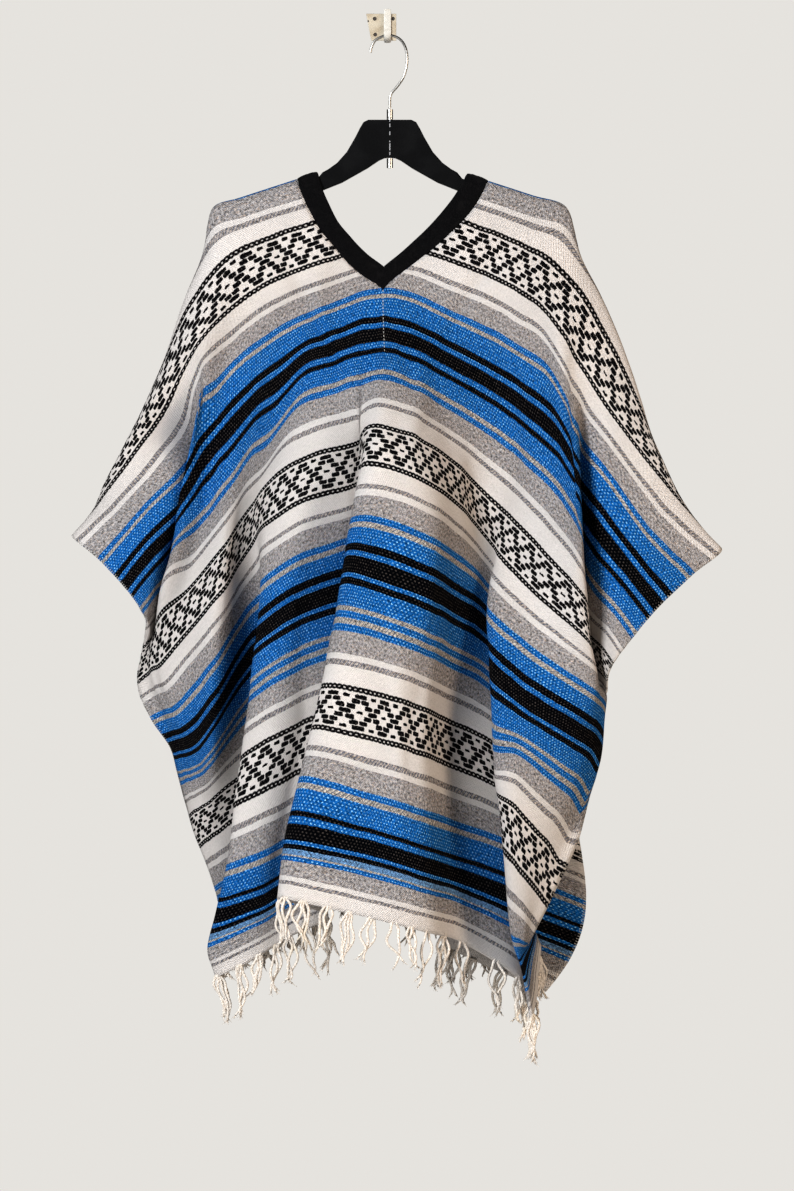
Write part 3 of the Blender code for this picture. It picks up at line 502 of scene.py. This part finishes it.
def yarn(points, faces, path, thick, thin, sides, turnsEvery, taper):
    path = np.array(path)
    steps = np.linalg.norm(np.diff(path, axis=0), axis=1)
    walked = np.concatenate([[0], np.cumsum(steps)])
    start = len(points)
    for k, centre in enumerate(path):
        ahead = path[min(k + 1, len(path) - 1)] - path[max(k - 1, 0)]
        ahead /= max(np.linalg.norm(ahead), 1e-9)
        first = np.array((1.0, 0, 0)) - ahead * ahead[0]
        first /= np.linalg.norm(first)
        second = np.cross(ahead, first)
        turn = 2 * math.pi * walked[k] / turnsEvery
        p = first * math.cos(turn) + second * math.sin(turn)
        q = second * math.cos(turn) - first * math.sin(turn)
        size = 1.0 - taper * (k / (len(path) - 1)) ** 3
        for j in range(sides):
            a = 2 * math.pi * j / sides
            out = p * thick * math.cos(a) + q * thin * math.sin(a)
            points.append((centre + out * size) / 1000)
    for k in range(len(path) - 1):
        for j in range(sides):
            n = (j + 1) % sides
            faces.append((start + k * sides + j, start + k * sides + n,
                          start + (k + 1) * sides + n, start + (k + 1) * sides + j))
    faces.append(tuple(start + j for j in reversed(range(sides))))
    faces.append(tuple(start + (len(path) - 1) * sides + j for j in range(sides)))


def makeFringe(name, sign, seed):
    dice = random.Random(seed)
    points, faces = [], []
    hem, half = sign * blanket["halfLength"], blanket["halfWidth"]
    spacedFrom, spacedTo, spacedPitch = fringe["spaced"]
    u = fringe["firstAt"] - half
    while u < half - fringe["lastAt"]:
        front = sign > 0
        turned = front and any(low < u < high for low, high in fringe["turnedUnder"])
        lowest = front and fringe["lowest"][0] < u < fringe["lowest"][1]
        cords = dice.choice((2, 3, 3, 4, 4))
        lean, belly = dice.uniform(-9, 9), dice.uniform(3.0, 7.5)
        reach = fringe["length"] * dice.uniform(0.80, 1.06)
        reach *= fringe["turnedShare"] if turned else fringe["lowestShare"] if lowest else 1.0
        knot = dice.uniform(0.70, 0.90)      # where the cords of a group come together again
        for n in range(cords):
            side = 2 * n / (cords - 1) - 1
            place = max(min(u + side * fringe["groupReach"], half - 2), 2 - half)
            top = clothPoint(place, hem)
            fall = top - clothPoint(place, hem - sign * 14.0)
            fall /= np.linalg.norm(fall)
            droop = fall * fringe["stiffness"] - np.array((0, 0, fringe["weight"]))
            droop /= np.linalg.norm(droop)
            length = reach * dice.uniform(0.90, 1.04)
            wave, phase = dice.uniform(1.2, 3.0), dice.uniform(0, 6.3)
            depth, tip = dice.uniform(-2.5, 2.5), dice.uniform(-6, 6)
            path, spot = [], top - fall * 3.0
            for k in range(fringe["rings"] + 1):
                t = k / fringe["rings"]
                down = fall * (1 - t) ** 2 + droop * (1 - (1 - t) ** 2)
                spread = side * belly * math.sin(math.pi * min(t / knot, 1.0)) - side * 1.2 * t
                loose = max(t - knot, 0.0) / (1 - knot)
                shift = spread + lean * t * t + tip * loose * loose
                shift += wave * math.sin(9.0 * t + phase) * min(t * 4, 1.0)
                ripple = depth * math.sin(6.0 * t + phase * 1.7) * t
                ripple += side * 1.6 * math.sin(11.0 * t)
                path.append(spot + np.array((shift, ripple, 0)))
                spot = spot + down / np.linalg.norm(down) * (length + 3.0) / fringe["rings"]
            yarn(points, faces, path, fringe["thick"], fringe["thin"], fringe["sides"],
                 fringe["twist"] * dice.uniform(0.85, 1.2), 0.3)
            end = path[-1]
            out = (end - path[-4]) / np.linalg.norm(end - path[-4])
            for _ in range(fringe["hairs"]):
                hair = dice.uniform(0.4, 1.0) * fringe["hairLength"]
                stray = np.array((dice.uniform(-0.45, 0.45), dice.uniform(-0.45, 0.45), 0)) * hair
                curve = [end + out * (hair * t - 3) + stray * t * t for t in (0, 0.35, 0.7, 1.0)]
                yarn(points, faces, curve, fringe["hairThick"], fringe["hairThin"], 4, 60.0, 0.6)
        spaced = front and spacedFrom < u < spacedTo
        u += (spacedPitch if spaced else fringe["pitch"]) * dice.uniform(0.78, 1.22)
    return addMesh(name, points, faces)


# wall hook: a stamped plate with screw holes, and a finger bent out, up and back
plate = {"width": 38.0, "thick": 2.0, "height": 34.0, "taper": 6.5, "edge": 0.7,
         "holes": ((-8.1, 10.6, 2.5), (-7.5, -9.4, 2.4), (15.0, 10.6, 2.4), (-16.4, 7.6, 1.1)),
         "holeDepth": 1.3}
finger = {"x": 8.0, "width": 10.0, "thick": 4.4, "start": 4.5,
          "path": ((4.1, -15.5), (4.1, 0.0), (4.1, 12.0), (6.4, 17.4), (11.0, 19.6), (30.0, 19.6),
                   (46.0, 19.6), (52.0, 18.4), (56.2, 14.0), (57.4, 6.0), (56.8, -6.0),
                   (56.6, -14.0), (57.4, -18.6))}


def grip(piece, kind, test):  # leaves edit mode on with the chosen vertices or faces selected
    switchMode("EDIT")
    bpy.ops.mesh.select_mode(type="FACE" if kind == "polygons" else "VERT")
    bpy.ops.mesh.select_all(action="DESELECT")
    switchMode("OBJECT")
    for item in getattr(piece.data, kind):
        item.select = test(item)
    switchMode("EDIT")


def cut(piece, tool):
    modifier = piece.modifiers.new("cut", "BOOLEAN")
    modifier.operation, modifier.object, modifier.solver = "DIFFERENCE", tool, "EXACT"
    applyAll(piece)
    bpy.data.objects.remove(tool, do_unlink=True)


def makePlate():
    bpy.ops.mesh.primitive_cube_add(size=1.0)
    piece = bpy.context.object
    piece.name = "hook_plate"
    switchMode("EDIT")
    bpy.ops.transform.resize(value=[plate[side] / 1000 for side in ("width", "thick", "height")])
    bpy.ops.transform.translate(value=(0, -plate["thick"] / 2000, 0))
    grip(piece, "vertices", lambda v: v.co.x < 0 and v.co.z < 0)
    bpy.ops.transform.translate(value=(plate["taper"] / 1000, 0, 0))
    switchMode("OBJECT")
    edge = piece.modifiers.new("edge", "BEVEL")
    edge.width, edge.segments = plate["edge"] / 1000, 3
    applyAll(piece)
    for x, z, radius in plate["holes"]:
        depth = plate["holeDepth"] / 1000
        bpy.ops.mesh.primitive_cylinder_add(vertices=28, radius=radius / 1000, depth=depth * 2,
                                            location=(x / 1000, -plate["thick"] / 1000, z / 1000),
                                            rotation=(math.pi / 2, 0, 0))
        cut(piece, bpy.context.object)
    return piece


def makeFinger():
    x, path = finger["x"] / 1000, finger["path"]
    bpy.ops.mesh.primitive_cube_add(size=1.0)
    piece = bpy.context.object
    piece.name = "hook_finger"
    switchMode("EDIT")
    start = finger["start"]
    bpy.ops.transform.resize(value=(finger["width"] / 1000, finger["thick"] / 1000, start / 1000))
    bpy.ops.transform.translate(value=(x, -path[0][0] / 1000, -(path[0][1] - start / 2) / 1000))
    grip(piece, "polygons", lambda face: face.normal.z < -0.9)
    turned = 0.0
    for i in range(1, len(path)):
        (outA, dropA), (outB, dropB) = path[i - 1], path[i]
        heading = math.atan2(outB - outA, dropB - dropA)
        if i + 1 < len(path):
            heading = (heading + math.atan2(path[i + 1][0] - outB, path[i + 1][1] - dropB)) / 2
        bpy.ops.mesh.extrude_region_move(
            TRANSFORM_OT_translate={"value": (0, (outA - outB) / 1000, (dropA - dropB) / 1000)})
        bpy.ops.transform.rotate(value=heading - turned, orient_axis="X",
                                 center_override=(x, -outB / 1000, -dropB / 1000))
        turned = heading
    switchMode("OBJECT")
    soft = piece.modifiers.new("rounded", "SUBSURF")
    soft.levels = 3
    applyAll(piece)
    piece.data.shade_smooth()
    return piece


def colour(red, green, blue):  # screen colour to linear
    return tuple((c / 255 / 12.92 if c <= 10 else ((c / 255 + 0.055) / 1.055) ** 2.4)
                 for c in (red, green, blue)) + (1.0,)


class Wire:
    def __init__(self, look, socket):
        self.look, self.socket = look, socket

    def calc(self, operation, *others):
        return self.look.add("ShaderNodeMath", {"operation": operation},
                             dict(enumerate((self,) + others)))

    __add__ = __radd__ = lambda self, other: self.calc("ADD", other)
    __mul__ = __rmul__ = lambda self, other: self.calc("MULTIPLY", other)
    __sub__ = lambda self, other: self.calc("SUBTRACT", other)
    __truediv__ = lambda self, other: self.calc("DIVIDE", other)
    __lt__ = lambda self, other: self.calc("LESS_THAN", other)
    __gt__ = lambda self, other: self.calc("GREATER_THAN", other)
    __abs__ = lambda self: self.calc("ABSOLUTE")

    def __rsub__(self, other):
        return self.look.add("ShaderNodeMath", {"operation": "SUBTRACT"}, {0: other, 1: self})

    def edge(self, low, high):  # 0 below low, 1 above high, smooth between; runs down if low > high
        start, end = (0.0, 1.0) if low < high else (1.0, 0.0)
        return self.look.add("ShaderNodeMapRange", {"interpolation_type": "SMOOTHSTEP"},
                             {0: self, 1: min(low, high), 2: max(low, high), 3: start, 4: end})


class Look:
    def __init__(self, name, **constants):
        self.material = bpy.data.materials.new(name)
        self.material.use_nodes = True
        self.tree = self.material.node_tree
        self.shader = self.tree.nodes["Principled BSDF"]
        for socket, value in constants.items():
            self.shader.inputs[socket.replace("_", " ")].default_value = value

    def add(self, kind, settings=None, values=None, output=0):
        node = self.tree.nodes.new(kind)
        for setting, value in (settings or {}).items():
            if setting == "stops":
                ramp = node.color_ramp
                ramp.interpolation = "CONSTANT"
                while len(ramp.elements) < len(value):
                    ramp.elements.new(0.5)
                for element, (position, shade) in zip(ramp.elements, value):
                    element.position = position
                    element.color = shade
            else:
                setattr(node, setting, value)
        for socket, value in (values or {}).items():
            self.feed(node.inputs[socket], value)
        if output == "all":
            return [Wire(self, socket) for socket in node.outputs]
        return Wire(self, node.outputs[output])

    def feed(self, socket, value):
        if isinstance(value, Wire):
            self.tree.links.new(value.socket, socket)
        else:
            socket.default_value = value

    def noise(self, vector, scale, detail=2.0, rough=0.5):
        return self.add("ShaderNodeTexNoise", {"noise_dimensions": "3D"},
                        {"Vector": vector, "Scale": scale, "Detail": detail, "Roughness": rough})

    def blend(self, factor, first, second):
        return self.add("ShaderNodeMix", {"data_type": "RGBA"}, {0: factor, 6: first, 7: second},
                        output=2)

    def grain(self, vector, sizes, detail=2.0, rough=0.5):  # noise drawn out in one direction
        drawn = self.add("ShaderNodeVectorMath", {"operation": "MULTIPLY"}, {0: vector, 1: sizes})
        return self.noise(drawn, 1.0, detail, rough)

    def bump(self, height, strength, distance):
        return self.add("ShaderNodeBump", None,
                        {"Strength": strength, "Distance": distance, "Height": height})

    def finish(self, **links):
        for socket, value in links.items():
            self.feed(self.shader.inputs[socket.replace("_", " ")], value)
        return self.material


woven = {                        # colour, and how strongly the yarn is mottled
    "beige": (colour(174, 167, 158), 1.0), "blue": (colour(17, 91, 158), 0.85),
    "black": (colour(3, 4, 7), 0.12), "grey": (colour(160, 155, 153), 0.9),
    "dust": (colour(164, 156, 150), 1.0), "white": (colour(210, 204, 200), 0.14),
    "cream": (colour(213, 206, 201), 0.10), "pale": (colour(96, 128, 164), 0.85),
}
# the weaver's chart, from the shoulder fold past the hem: colour and width in millimetres, in three
# lengths because a colour ramp takes no more than 32 colours
chart = (
    (("blue", 4.4), ("grey", 26.1), ("white", 7.0), ("dust", 6.5), ("cream", 98.0), ("dust", 6.5),
     ("white", 7.0), ("grey", 25.0), ("blue", 7.6), ("beige", 5.3), ("blue", 25.2),
     ("black", 7.4), ("blue", 6.9), ("black", 18.1), ("blue", 6.9), ("black", 6.8),
     ("blue", 23.2), ("beige", 6.7), ("blue", 8.3), ("grey", 26.8), ("white", 7.9), ("dust", 7.9)),
    (("cream", 104.0), ("dust", 6.5), ("white", 7.5), ("grey", 25.0), ("blue", 7.7),
     ("beige", 7.7), ("blue", 21.3), ("black", 8.8), ("blue", 6.5), ("black", 22.5),
     ("blue", 5.5), ("black", 8.5), ("blue", 25.6), ("beige", 5.5), ("blue", 7.8), ("beige", 6.8),
     ("blue", 7.9), ("grey", 25.5), ("white", 7.2), ("dust", 6.7), ("cream", 29.4)),
    (("cream", 71.6), ("dust", 7.0), ("white", 7.0), ("grey", 25.0), ("blue", 8.1),
     ("beige", 7.3), ("blue", 25.6), ("black", 6.5), ("blue", 7.5), ("black", 19.0),
     ("blue", 5.5), ("black", 5.5), ("pale", 6.6), ("beige", 2.8), ("blue", 6.1), ("grey", 19.5),
     ("white", 5.5), ("dust", 5.0), ("cream", 59.5)),
)
# in millimetres: the loom's repeats, and the diamond rows with their chained border lines
weave = {"pickPitch": 3.7, "endPitch": 4.6, "ribAcross": 2.7, "ribAlong": 3.3,
         "plyAcross": 5.2, "plyAlong": 6.5}
motif = {"period": 38.0, "rowPitch": 6.0, "dash": 2.75, "bands": (93.0, 401.0, 721.6),
         "halfBand": 33.0, "rope": 3.5, "ropeOff": 26.1, "link": 7.2}
stitches = {"middle": 224.0, "halfRun": 40.0, "halfWidth": 0.9, "pitch": 4.6,
            "overlockFrom": 667.0, "overlockPitch": 4.0}


def chartRamps(look, along):  # colour and mottle strength at a distance along the warp
    result, low = None, 0.0
    for stripes in chart:
        length = sum(width for _, width in stripes)
        ramp, at = [], 0.0
        for name, width in stripes:
            shade, mottle = woven[name]
            ramp.append((at / length, shade[:3] + (mottle,)))
            at += width
        shade, mottle = look.add("ShaderNodeValToRGB", {"stops": ramp}, {0: (along - low) / length},
                                 output="all")
        if result is None:
            result = (shade, mottle)
        else:
            later = along > low
            result = (look.blend(later, result[0], shade),
                      result[1] * (1.0 - later) + mottle * later)
        low += length
    return result


def clothMaterial():
    look = Look("stripedBlanketCloth", Roughness=0.95, Specular_IOR_Level=0.02)
    place = look.add("ShaderNodeUVMap", {"uv_map": "cloth"})
    u, v, _ = look.add("ShaderNodeSeparateXYZ", None, {0: place}, output="all")
    u, v = u * 1000.0, v * 1000.0
    drift = look.noise(place, 22.0, 1.0) - 0.5
    jitter = look.grain(place, (260.0, 420.0, 1.0)) - 0.5
    skew = 9.0 * abs(u).edge(195.0, 265.0) * abs(v).edge(70.0, 0.0)
    along = abs(v + skew + drift * 3.0 + jitter * 1.9)
    shade, mottle = chartRamps(look, along)

    streak = look.grain(place, (150.0, 700.0, 1.0), 3.0, 0.6)

    # the diamond rows between two chained black lines
    inBand, row = None, None
    for centre in motif["bands"]:
        near = abs(along - centre) < motif["halfBand"]
        offset = (along - centre) * near
        inBand = near if inBand is None else inBand + near
        row = offset if row is None else row + offset
    line = (row / motif["rowPitch"]).calc("ROUND")
    away = abs(row - line * motif["rowPitch"])
    line = abs(line)
    wave = ((u + jitter * 3.0) / motif["period"] + 0.5).calc("FRACT")
    q = abs(wave - 0.5)

    def dash(n, centre, half, thick=1.0):  # rounded float: row, middle and half length in repeats
        onRow = abs(line - float(n)) < 0.5
        side = abs(q - centre) / half
        end = side * side * side * side * side * side
        tall = away / (motif["dash"] * thick + jitter * 1.2 + (streak - 0.5) * 3.0)
        return (end + tall * tall * tall).edge(1.3, 0.7) * onRow
    floats = (dash(0, 0.0, 0.20) + dash(0, 0.5, 0.11, 0.55) + dash(1, 0.185, 0.155)
              + dash(2, 0.335, 0.15) + dash(3, 0.47, 0.19) + dash(3, 0.0, 0.12, 0.75))
    ropeEdge = abs(abs(row) - motif["ropeOff"])
    link = ((u / motif["link"] + jitter * 0.25).calc("FRACT") - 0.5) * motif["link"]
    hole = (link * link / 2.4 + ropeEdge * ropeEdge / 0.7).edge(1.4, 0.6)
    rope = (ropeEdge + link * link * 0.06 - motif["rope"]).edge(0.5, -0.5) * (1.0 - hole * 0.8)
    floats = (floats + rope).calc("MINIMUM", 1.0) * inBand

    # warp ends peeping through between the wefts, in offset rows
    pickPitch, endPitch = weave["pickPitch"], weave["endPitch"]
    warpRow = v / pickPitch
    shift = abs(warpRow.calc("FLOOR").calc("MODULO", 2.0)) * 0.5
    du = ((u / endPitch + shift + jitter * 0.35).calc("FRACT") - 0.5) * endPitch
    dv = ((warpRow + jitter * 0.3).calc("FRACT") - 0.5) * pickPitch
    patch = look.grain(place, (260.0, 330.0, 1.0), 1.0)
    peep = (du * du / 1.1 + dv * dv / 0.9).edge(1.5, 0.5) * (0.15 + 0.85 * patch.edge(0.40, 0.62))

    # fibres: streaks along the weft, and heathering
    speck = look.grain(place, (400.0, 520.0, 1.0), 2.0, 0.7)
    knot = look.grain(place, (350.0, 340.0, 1.0), 2.0, 0.6)
    clot = look.grain(place, (230.0, 250.0, 1.0), 1.0)
    tone = look.grain(place, (9.0, 30.0, 1.0))
    grey = mottle.edge(0.86, 0.89)
    tan = look.blend(streak.edge(0.54, 0.64) * grey * 0.5, shade, colour(178, 148, 122))
    cool = look.blend(speck.edge(0.55, 0.64) * grey * 0.6, tan, colour(88, 98, 124))
    ribs = (u * (2 * math.pi / weave["ribAcross"])).calc("SINE")
    ribs = ribs * (v * (2 * math.pi / weave["ribAlong"])).calc("SINE")
    value = (0.95 + 0.22 * (tone - 0.5) - (0.05 + 0.22 * mottle) * ribs.edge(-0.1, -0.7)
             + mottle * (0.42 * knot.edge(0.52, 0.62) - 0.44 * knot.edge(0.48, 0.38)
                         + 0.28 * clot.edge(0.54, 0.66) - 0.28 * clot.edge(0.46, 0.34)))
    mottled = look.add("ShaderNodeHueSaturation", None, {"Value": value, "Color": cool})
    twist = (u / weave["plyAcross"] + v / weave["plyAlong"]).calc("FRACT")
    plies = abs(twist - 0.5).edge(0.30, 0.44)
    mottled = look.blend(plies * mottle.edge(0.93, 0.97) * 0.75, mottled, colour(66, 78, 100))
    painted = look.blend(floats, mottled, colour(6, 6, 8))
    level = look.add("ShaderNodeRGBToBW", None, {0: shade})
    bright = level.edge(0.02, 0.09)
    dotColour = look.blend(bright * (1.0 - floats), colour(124, 114, 108), colour(140, 198, 236))
    dots = peep * (level.edge(0.32, 0.14) * (0.34 + 0.60 * bright) * (1.0 - floats) + floats * 0.22)
    dotted = look.blend(dots, painted, dotColour)

    # pale stitches down the middle below the neck, and over each selvedge
    run = abs(v - stitches["middle"]) < stitches["halfRun"]
    paleLine = (abs(u) < stitches["halfWidth"]) * run
    paleLine = paleLine * ((v / stitches["pitch"]).calc("FRACT") < 0.5)
    overlock = (abs(u) > stitches["overlockFrom"]) * 0.55
    overlock = overlock * ((v / stitches["overlockPitch"]).calc("FRACT") < 0.35)
    sewn = (paleLine * 0.8 + overlock).calc("MINIMUM", 1.0)
    stitched = look.blend(sewn, dotted, colour(206, 202, 196))

    height = ribs * 0.5 + (streak - 0.5) * 1.3 + (knot - 0.5) * 1.2 + floats * 0.35 + peep * 0.2
    normal = look.bump(height, 0.85, 0.0013)
    return look.finish(Base_Color=stitched, Normal=normal)


def fleeceMaterial():
    look = Look("blackFleece", Roughness=1.0, Sheen_Weight=0.02, Sheen_Roughness=0.5,
                Specular_IOR_Level=0.03)
    place = look.add("ShaderNodeTexCoord", output=3)
    fuzz = look.noise(place, 900.0, 3.0, 0.7)
    lump = look.noise(place, 90.0, 2.0)
    shade = look.blend(fuzz.edge(0.35, 0.75), colour(6, 6, 7), colour(22, 21, 22))
    surfaceColour = look.blend(lump.edge(0.5, 0.8) * 0.4, shade, colour(28, 26, 26))
    return look.finish(Base_Color=surfaceColour, Normal=look.bump(fuzz * 0.6 + lump * 0.6, 0.6, 0.0012))


def yarnMaterial():
    look = Look("whiteWarpYarn", Roughness=0.9, Sheen_Weight=0.3, Specular_IOR_Level=0.2)
    place = look.add("ShaderNodeTexCoord", output=3)
    fibre = look.grain(place, (900.0, 900.0, 300.0), 3.0, 0.6)
    tint = look.noise(place, 24.0, 1.0)
    shade = look.blend(fibre.edge(0.3, 0.7), colour(176, 164, 150), colour(228, 220, 212))
    tinted = look.blend(tint.edge(0.5, 0.75) * 0.4, shade, colour(205, 190, 165))
    return look.finish(Base_Color=tinted, Normal=look.bump(fibre, 0.5, 0.0006))


def plasticMaterial():
    look = Look("blackMouldedPlastic", Roughness=0.3, Specular_IOR_Level=0.08)
    place = look.add("ShaderNodeTexCoord", output=3)
    smear = look.noise(place, 40.0, 3.0)
    grain = look.noise(place, 700.0, 2.0)
    shade = look.blend(smear.edge(0.4, 0.7), colour(4, 4, 5), colour(9, 9, 10))
    # painted highlight: a broken pale glint line painted down the hanger's middle
    x, _, z = look.add("ShaderNodeSeparateXYZ", None, {0: place}, output="all")
    paleLine = abs(x - blanket["hangerX"] / 1000).edge(0.0008, 0.0004) * (z > -0.166)
    paleLine = paleLine * look.grain(place, (60.0, 60.0, 420.0), 1.0).edge(0.44, 0.52)
    shade = look.blend(paleLine, shade, colour(150, 150, 152))
    return look.finish(Base_Color=shade, Roughness=0.24 + 0.18 * smear,
                       Normal=look.bump(grain, 0.15, 0.0003))


def steelMaterial():
    look = Look("brightSteelWire", Metallic=1.0, Roughness=0.3)
    place = look.add("ShaderNodeTexCoord", output=3)
    smear = look.noise(place, 60.0, 2.0)
    scratch = look.grain(place, (1500.0, 1500.0, 120.0))
    shade = look.blend(smear, colour(146, 143, 138), colour(176, 174, 171))
    return look.finish(Base_Color=shade, Roughness=0.22 + 0.14 * smear + 0.06 * scratch)


def paintMaterial():
    look = Look("creamHookPaint", Roughness=0.42, Specular_IOR_Level=0.4)
    place = look.add("ShaderNodeTexCoord", output=3)
    cloud = look.noise(place, 70.0, 3.0)
    spots = look.noise(place, 420.0, 2.0)
    shade = look.blend(cloud.edge(0.35, 0.7), colour(176, 166, 148), colour(154, 140, 118))
    surfaceColour = look.blend(spots.edge(0.66, 0.74) * 0.6, shade, colour(150, 128, 96))
    depth = look.add("ShaderNodeSeparateXYZ", None, {0: place}, output=1)
    # the finger is whiter, and the screw holes are dark inside: painted shade, which also darkens
    # the plate's thin rim against the wall
    surfaceColour = look.blend(depth.edge(-0.0030, -0.0036), surfaceColour, colour(186, 182, 174))
    surfaceColour = look.blend(depth.edge(-0.0011, -0.0009), surfaceColour, colour(46, 36, 28))
    return look.finish(Base_Color=surfaceColour, Roughness=0.36 + 0.2 * cloud,
                       Normal=look.bump(spots * 0.5 + cloud, 0.2, 0.0004))


def floorMaterial():
    look = Look("paleFloor", Roughness=0.8)
    place = look.add("ShaderNodeTexCoord", output=3)
    cloud = look.noise(place, 1.5, 2.0)
    shade = look.blend(cloud, colour(222, 220, 216), colour(228, 226, 223))
    return look.finish(Base_Color=shade)


def coat(piece, material):
    piece.data.materials.clear()
    piece.data.materials.append(material)


def dress(piece, material):
    coat(piece, material)
    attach(piece, "root")


clothLook, fleeceLook, yarnLook = clothMaterial(), fleeceMaterial(), yarnMaterial()
plasticLook, steelLook, paintLook = plasticMaterial(), steelMaterial(), paintMaterial()
print("materials made")

poncho = makeBlanket()
dress(poncho, clothLook)
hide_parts("blanket")
print("blanket:", len(poncho.data.polygons), "faces")

bands = []
for name, side in (("neck_band_left_fleece", -1), ("neck_band_right_fleece", 1)):
    piece = makeNeckBand(name, side)
    dress(piece, fleeceLook)
    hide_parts(name.replace("_fleece", ""))
    bands.append(piece)
print("neck band made")

frontFringe = makeFringe("fringe_front_yarns", 1, 11)
dress(frontFringe, yarnLook)
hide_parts("fringe_left", "fringe_middle", "fringe_corner")
backFringe = makeFringe("fringe_back_yarns", -1, 23)
dress(backFringe, yarnLook)
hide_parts("fringe_back")
print("fringe:", len(frontFringe.data.polygons) + len(backFringe.data.polygons), "faces")

for piece, node in ((makePlate(), "wall_plate"), (makeFinger(), "prong")):
    dress(piece, paintLook)
    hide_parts(node)
print("wall hook made")

bands + [frontFringe, backFringe]

for node, look in (("hanger", plasticLook), ("hook_wire", steelLook), ("upper_ferrule", steelLook),
                   ("lower_ferrule", steelLook)):
    coat(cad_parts[node], look)

studio = {"floorSize": 6.0, "floorHeight": -1.8, "gamma": 0.86, "sky": (0.885, 0.865, 0.83, 1.0),
          "skyTurn": (0.82, 0.98), "skyStrength": (0.055, 0.92), "aim": (0.02, -0.1, -0.65),
          "cameraAt": (0.020, -8.0, -0.7175), "lens": 191.5, "film": 36.0, "cameraReach": 60.0}
bpy.ops.mesh.primitive_plane_add(size=studio["floorSize"], location=(0, 0, studio["floorHeight"]))
floor = bpy.context.object
floor.name = "floor"
coat(floor, floorMaterial())

world = bpy.data.worlds.new("studio")
world.use_nodes = True
sky = world.node_tree
toward = sky.nodes.new("ShaderNodeTexCoord")
axes = sky.nodes.new("ShaderNodeSeparateXYZ")
glow = sky.nodes.new("ShaderNodeMapRange")      # paler behind the garment than in front of it
for ends, values in (("From", studio["skyTurn"]), ("To", studio["skyStrength"])):
    glow.inputs[ends + " Min"].default_value, glow.inputs[ends + " Max"].default_value = values
sky.links.new(toward.outputs["Generated"], axes.inputs[0])
sky.links.new(axes.outputs["Y"], glow.inputs["Value"])
sky.links.new(glow.outputs["Result"], sky.nodes["Background"].inputs["Strength"])
sky.nodes["Background"].inputs["Color"].default_value = studio["sky"]
bpy.context.scene.world = world
bpy.context.scene.view_settings.view_transform = "Standard"
bpy.context.scene.view_settings.gamma = studio["gamma"]

lights = {                       # place, size, watts and tint
    "windowLight": ((-2.6, -4.95, 1.0), 1.5, 520.0, (0.93, 0.965, 1.0)),
    "frontFill": ((0.2, -5.5, 0.6), 1.6, 14.0, (1.0, 0.97, 0.94)),
    "warmSide": ((3.3, -1.9, -0.3), 1.2, 84.0, (1.0, 0.83, 0.66)),
}
aim = Vector(studio["aim"])
for name, (spot, size, power, tint) in lights.items():
    bpy.ops.object.light_add(type="AREA", location=spot)
    lamp = bpy.context.object
    lamp.name = name
    lamp.data.size, lamp.data.energy, lamp.data.color = size, power, tint
    lamp.rotation_mode = "QUATERNION"
    lamp.rotation_quaternion = (aim - Vector(spot)).to_track_quat("-Z", "Y")

bpy.ops.object.camera_add(location=studio["cameraAt"], rotation=(math.radians(90), 0, 0))
camera = bpy.context.object
camera.name = "studioCamera"
camera.data.lens, camera.data.sensor_width = studio["lens"], studio["film"]
camera.data.clip_end = studio["cameraReach"]
bpy.context.scene.camera = camera
print("stage set")
